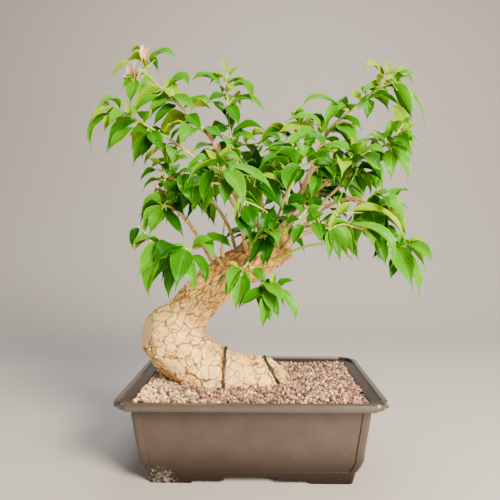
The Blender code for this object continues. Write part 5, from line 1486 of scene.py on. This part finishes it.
limbs = [tree_of(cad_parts[name].data) for name in ["trunk"] + list(BOUGHS)]
twig_trees = [(name, tube_tree(twig)) for name, (twigs, _) in PLANS.items() for twig in twigs]
for name, (twigs, chance) in PLANS.items():
    luck = random.Random(name)
    for twig in twigs:
        others = limbs + [tree for owner, tree in twig_trees if owner != name]
        for share, tries in leaf_places(twig, chance):
            tone = tone_at(LIGHT[name], share, luck.gauss(0, 1))
            if name in SEEN and name not in KEEP_INSIDE and luck.random() > KEEP_BESIDE_SEEN:
                continue
            for root, run, out, size, droop in tries:
                leaf = rule_leaf(root, run, out, size * RULE_SCALE, droop, tone)
                near = [other.solid for other in leaves if (other.middle - leaf.middle).length < NEAR]
                if not any(leaf.solid.overlap(tree) for tree in others + near):
                    leaves.append(leaf)
                    break
print(len(leaves), "leaves in all:", {tone: sum(l.tone == tone for l in leaves) for tone in TONES.values()})

# %% [markdown]
# ## The shape of a leaf
# A bougainvillea leaf is egg-shaped with a drawn-out tip. It is folded a little along its midrib,
# its edge waves, and its tip bends down. One flat blade is made once, as a grid with a thickness,
# and every leaf is that blade laid along its own midrib, so all share one outline and stay light.

# %% One blade
BLADE_ALONG, BLADE_ACROSS = 10, 4
BLADE_THICKNESS = 0.00034
WIDEST = 0.37
TAPER = 2.0
STALK_SHARE = 0.07
DRIP_SPAN = (0.70, 0.94)
DRIP_SLIMMING = 0.55
CROWD_AT_TIP = 1.2
SLIMMEST = 0.035
FOLD_DEGREES, EDGE_WAVES = (18, 40), (7, 12)
RIPPLE, CUP = 0.16, 0.10
TAIL_FALL, TAIL_FROM, TAIL_RUN_SQUARED = 0.065, 0.72, 0.0784
LEAF_SHARP = 70.0

bm = bmesh.new()
bmesh.ops.create_grid(bm, x_segments=BLADE_ALONG, y_segments=BLADE_ACROSS, size=1.0)
bmesh.ops.solidify(bm, geom=bm.faces[:], thickness=1.0)
bmesh.ops.recalc_face_normals(bm, faces=bm.faces[:])
bm.verts.index_update()
flat = np.array([v.co for v in bm.verts])
BLADE_FACES = np.array([[v.index for v in f.verts] for f in bm.faces])
bm.free()
top = flat[:, 2].max()
along = (flat[:, 0] + 1.0) / 2.0
along = 1.0 - (1.0 - along) ** CROWD_AT_TIP
across = flat[:, 1]
layer = flat[:, 2] - (top + flat[:, 2].min()) / 2.0
outline_power = TAPER * WIDEST, TAPER * (1.0 - WIDEST)
width_at = (along / WIDEST) ** outline_power[0] * ((1.0 - along) / (1.0 - WIDEST)) ** outline_power[1]
drip = np.clip((along - DRIP_SPAN[0]) / (DRIP_SPAN[1] - DRIP_SPAN[0]), 0.0, 1.0)
width_at *= 1.0 - DRIP_SLIMMING * drip * drip * (3.0 - 2.0 * drip)
width_at = np.maximum(width_at, SLIMMEST)
print(len(BLADE_FACES), "faces on a blade of", len(flat), "points")


def unit(rows):
    """Rows scaled to unit length."""
    return rows / np.linalg.norm(rows, axis=-1, keepdims=True)


def lay_blades(group, seed):
    """Points of the blade laid along each leaf's midrib, as one array."""
    chance = np.random.default_rng(seed)
    root, middle, tip, face = (np.array([getattr(leaf, part) for leaf in group])[:, None, :]
                               for part in ("root", "middle", "tip", "face"))
    bend = 2.0 * middle - (root + tip) / 2.0
    t = (STALK_SHARE + (1.0 - STALK_SHARE) * along)[None, :, None]
    spine = (1 - t) ** 2 * root + 2 * t * (1 - t) * bend + t ** 2 * tip
    run = unit(2 * (1 - t) * (bend - root) + 2 * t * (tip - bend))
    face = unit(face - run * (face * run).sum(-1, keepdims=True))
    side = np.cross(face, run)
    count = len(group)
    half = np.array([leaf.width / 2 for leaf in group])[:, None] * width_at[None, :]
    fold = np.radians(chance.uniform(*FOLD_DEGREES, (count, 1)))
    waves = along[None, :] * chance.uniform(*EDGE_WAVES, (count, 1))
    wave = np.sin(waves + chance.uniform(0, 6.3, (count, 1)))
    ripple = RIPPLE * wave * np.abs(across)[None, :] ** 2 * np.sign(across)[None, :]
    cup = -CUP * (np.abs(across) ** 2)[None, :]
    out = half * across[None, :] * np.cos(fold)
    lift = half * (np.abs(across)[None, :] * np.sin(fold) + ripple + cup)
    past = np.maximum(along - TAIL_FROM, 0.0)[None, :]
    tail = -TAIL_FALL * np.linalg.norm(tip - root, axis=-1) * past ** 2 / TAIL_RUN_SQUARED
    lift = lift + tail + layer[None, :] * BLADE_THICKNESS
    return spine + side * out[..., None] + face * lift[..., None]


def blades(name, group, material, slot, seed):
    """Piece with every blade of one tone."""
    points = lay_blades(group, seed).reshape(-1, 3)
    faces = (BLADE_FACES[None] + (np.arange(len(group)) * len(flat))[:, None, None]).reshape(-1, 4)
    mesh = bpy.data.meshes.new(name)
    mesh.from_pydata(points.tolist(), [], faces.tolist())
    where = np.stack([along, (across + 1.0) / 2.0], axis=1)[BLADE_FACES.reshape(-1)]
    layer_uv = mesh.uv_layers.new(name="blade")
    layer_uv.data.foreach_set("uv", np.tile(where, (len(group), 1)).astype(np.float32).ravel())
    return dress(name, mesh, material, slot, sharp=LEAF_SHARP)


def leaf_finish(name, code, pale, gloss):
    """A waxy leaf with a pale midrib, a pale margin that is partly the leaf's own colour and partly painted
    highlight, side veins pressed in, and a slight unevenness of tone.
    """
    material, tree, shader = finish(name, code, gloss, 1.45)
    uv = add(tree, "ShaderNodeUVMap", uv_map="blade").outputs["UV"]
    spot = add(tree, "ShaderNodeTexCoord").outputs["Object"]
    parts = add(tree, "ShaderNodeSeparateXYZ", {"Vector": uv})
    off = add(tree, "ShaderNodeMath", {0: parts.outputs["Y"], 1: 0.5}, operation="SUBTRACT")
    away = add(tree, "ShaderNodeMath", {0: off.outputs["Value"]}, operation="ABSOLUTE").outputs["Value"]
    rib = add(tree, "ShaderNodeMapRange", {"Value": away, "From Min": 0.0, "From Max": 0.05,
                                           "To Min": 0.60, "To Max": 0.0}, interpolation_type="SMOOTHSTEP")
    # The paler margin is partly the leaf's own edge colour and partly a painted highlight along the edge
    pale_margin_and_highlight = add(tree, "ShaderNodeMapRange", {"Value": away, "From Min": 0.450, "From Max": 0.50, "To Max": 1.0})
    pale_share = add(tree, "ShaderNodeMath", {0: rib.outputs["Result"], 1: pale_margin_and_highlight.outputs["Result"]},
                     operation="MAXIMUM")
    cloud = add(tree, "ShaderNodeTexNoise", {"Vector": spot, "Scale": 55.0, "Detail": 3.0})
    tint = add(tree, "ShaderNodeMapRange", {"Value": cloud.outputs["Fac"], "From Min": 0.3, "From Max": 0.7,
                                            "To Min": 0.0, "To Max": 0.22})
    base = add(tree, "ShaderNodeMix", {"Factor": tint.outputs["Result"]}, data_type="RGBA")
    mix = add(tree, "ShaderNodeMix", {"Factor": pale_share.outputs["Value"]}, data_type="RGBA")
    base.inputs["A"].default_value = linear(code)
    base.inputs["B"].default_value = mix.inputs["B"].default_value = linear(pale)
    tree.links.new(base.outputs["Result"], mix.inputs["A"])
    tree.links.new(mix.outputs["Result"], shader.inputs["Base Color"])
    slant = add(tree, "ShaderNodeMath", {0: away, 1: -0.9, 2: parts.outputs["X"]}, operation="MULTIPLY_ADD")
    vein = add(tree, "ShaderNodeMath", {0: slant.outputs["Value"], 1: 44.0}, operation="MULTIPLY")
    vein = add(tree, "ShaderNodeMath", {0: vein.outputs["Value"]}, operation="SINE")
    bump = add(tree, "ShaderNodeBump", {"Height": vein.outputs["Value"], "Strength": 0.35,
                                        "Distance": 0.0003})
    tree.links.new(bump.outputs["Normal"], shader.inputs["Normal"])
    shader.inputs["Specular IOR Level"].default_value = 0.05
    shader.inputs["Coat Weight"].default_value = 0.06
    shader.inputs["Coat Roughness"].default_value = 0.07
    return material


# Each tone: its colour, the pale colour of its midrib, margin and patches (the margin partly painted
# highlight), and its roughness
LEAF_LOOKS = {
    "young": ("#668e00", "#9cb400", 0.22), "bright": ("#347800", "#6a9e00", 0.20),
    "middle": ("#1e5c00", "#4c8a00", 0.19), "deep": ("#104002", "#296800", 0.18),
    "bract": ("#e39a72", "#f8d6b4", 0.55), "dried": ("#6e3c14", "#a86a30", 0.75),
}
for number, (tone, look) in enumerate(LEAF_LOOKS.items()):
    waxy = leaf_finish(f"waxy {tone} leaf", *look)
    blades(f"leaves_{tone}", [leaf for leaf in leaves if leaf.tone == tone], waxy, "leaf", number)

# %% [markdown]
# ## Twigs, stalks and thorns
# New shoots are green and ripen to tan where they grow from older wood. Leaf stalks are paler than
# the blade. Where shoots were cut back short stubs are left, with a few thorns and one curled
# tendril. All of them are round lines with a radius at each point, as a shoot grows too.

# %% Twigs and stalks
TAN_SHARE = 0.28
STALK_RADII = (0.0006, 0.0005)
LONG_STALK_RADII, LONG_STALK_RISE = (0.0008, 0.0007, 0.0006), 0.0012
TWIG_POINT, SHOOT_POINT = 0.005, 0.004


def shoot_finish(name, dark, light, gloss):
    """Skin of a shoot, streaked and freckled at the size of its lenticels."""
    material, tree, shader = finish(name, light, gloss, 1.45)
    spot = add(tree, "ShaderNodeTexCoord").outputs["Object"]
    streak = add(tree, "ShaderNodeTexNoise", {"Vector": spot, "Scale": 320.0, "Detail": 4.0})
    tone = add(tree, "ShaderNodeValToRGB", {"Fac": streak.outputs["Fac"]}, ((0.32, dark), (0.62, light)))
    tree.links.new(tone.outputs["Color"], shader.inputs["Base Color"])
    bump = add(tree, "ShaderNodeBump", {"Height": streak.outputs["Fac"], "Strength": 0.3, "Distance": 0.0002})
    tree.links.new(bump.outputs["Normal"], shader.inputs["Normal"])
    return material


green_skin = shoot_finish("green shoot skin", "#6c8a14", "#9fb830", 0.5)
tan_skin = shoot_finish("ripened twig bark", "#9a6f38", "#dcab68", 0.75)
pale_skin = shoot_finish("leaf stalk", "#86a824", "#c2d662", 0.45)
tan_lines, green_lines = [], []
for name, (twigs, _) in PLANS.items():
    for number, twig in enumerate(twigs):
        line = line_of(twig.route, twig.radii[0] * BARK_SHARE[1], twig.radii[1], TWIG_POINT)
        if number == 0:
            cut = max(2, int(len(line) * TAN_SHARE))
            tan_lines.append(line[:cut + 1])
            line = line[cut:]
        green_lines.append(line)
stalk_lines = [list(zip((leaf.root, leaf.root.lerp(leaf.middle, 0.5)), STALK_RADII)) for leaf in leaves]
stalk_lines += [list(zip((a, a.lerp(b, 0.5) + UP * LONG_STALK_RISE, b), LONG_STALK_RADII)) for a, b in stalks]
green = dress("twigs_green", strands("twigs_green", green_lines, sides=1), green_skin, "leaf")
dress("twigs_tan", strands("twigs_tan", tan_lines, sides=1), tan_skin, "leaf")
dress("leaf_stalks", strands("leaf_stalks", stalk_lines, sides=0), pale_skin, "leaf")
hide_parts(*MASSES)

# %% Stubs, thorns and a tendril
CURL_RADIUS, CURL_RISE, CURL_THICK = 0.0024, 0.15, 0.0006
CURL_STEPS = 16
# Places along a stub, and its radius there in metres for each millimetre of its table radius
STUB_WIDTHS = ((0.0, 0.0012), (0.6, 0.001), (1.0, 0.0009))
# A stub's start and end in the photograph, its depth and its radius in millimetres
STUBS = (
    ((218, 144), (220.5, 157), -12, 2.6), ((316, 143), (313, 130), -10, 2.2),
    ((319, 140), (322.5, 130), -12, 1.5),
    ((313, 180), (327, 180), -14, 1.2), ((324, 206), (349, 198.5), -34, 1.6),
    ((347, 199), (361, 203), -36, 1.2),
    ((347, 199), (351, 194), -36, 0.7), ((146, 239), (165, 248), -50, 1.3),
    ((158, 188), (156, 184), -36, 1.8),
    ((186, 144), (184, 138), -20, 0.6), ((240, 168), (246, 163), -60, 0.6),
    ((352, 112), (350, 106), -14, 0.6),
    ((223, 257), (221, 248), -14, 2.4), ((273, 363), (284, 368), -22, 1.0),
    ((275, 366), (288, 373), -24, 1.2),
    ((278, 371), (290, 377), -26, 1.0), ((280, 376), (289, 383), -28, 1.0),
)
stub_lines = []
for start, end, depth, radius in STUBS:
    foot, tip = seen_at(start, depth * MILLIMETRE), seen_at(end, (depth - 1) * MILLIMETRE)
    stub_lines.append([(foot.lerp(tip, share), radius * width) for share, width in STUB_WIDTHS])
curl = seen_at((205.5, 129), -0.012)
turns = [math.tau * k / CURL_STEPS for k in range(CURL_STEPS)]
stub_lines.append([(curl + Vector((math.sin(a), -CURL_RISE * a, -math.cos(a))) * CURL_RADIUS, CURL_THICK)
                   for a in turns])
dress("pruned_stubs", strands("pruned_stubs", stub_lines, sides=2), tan_skin, "bark")
for name, skin_of in zip(GREEN_SHOOTS, (green_skin, tan_skin)):
    line = line_of(ROUTES[name], BOUGHS[name][2], BOUGHS[name][3], SHOOT_POINT)
    dress(name.replace("green", "pruned"), strands(name, [line], sides=2), skin_of, "green_shoot", [name])

# %% Sizes and finish
low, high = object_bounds()
print("finished", [round(c, 4) for p in (low, high) for c in p])
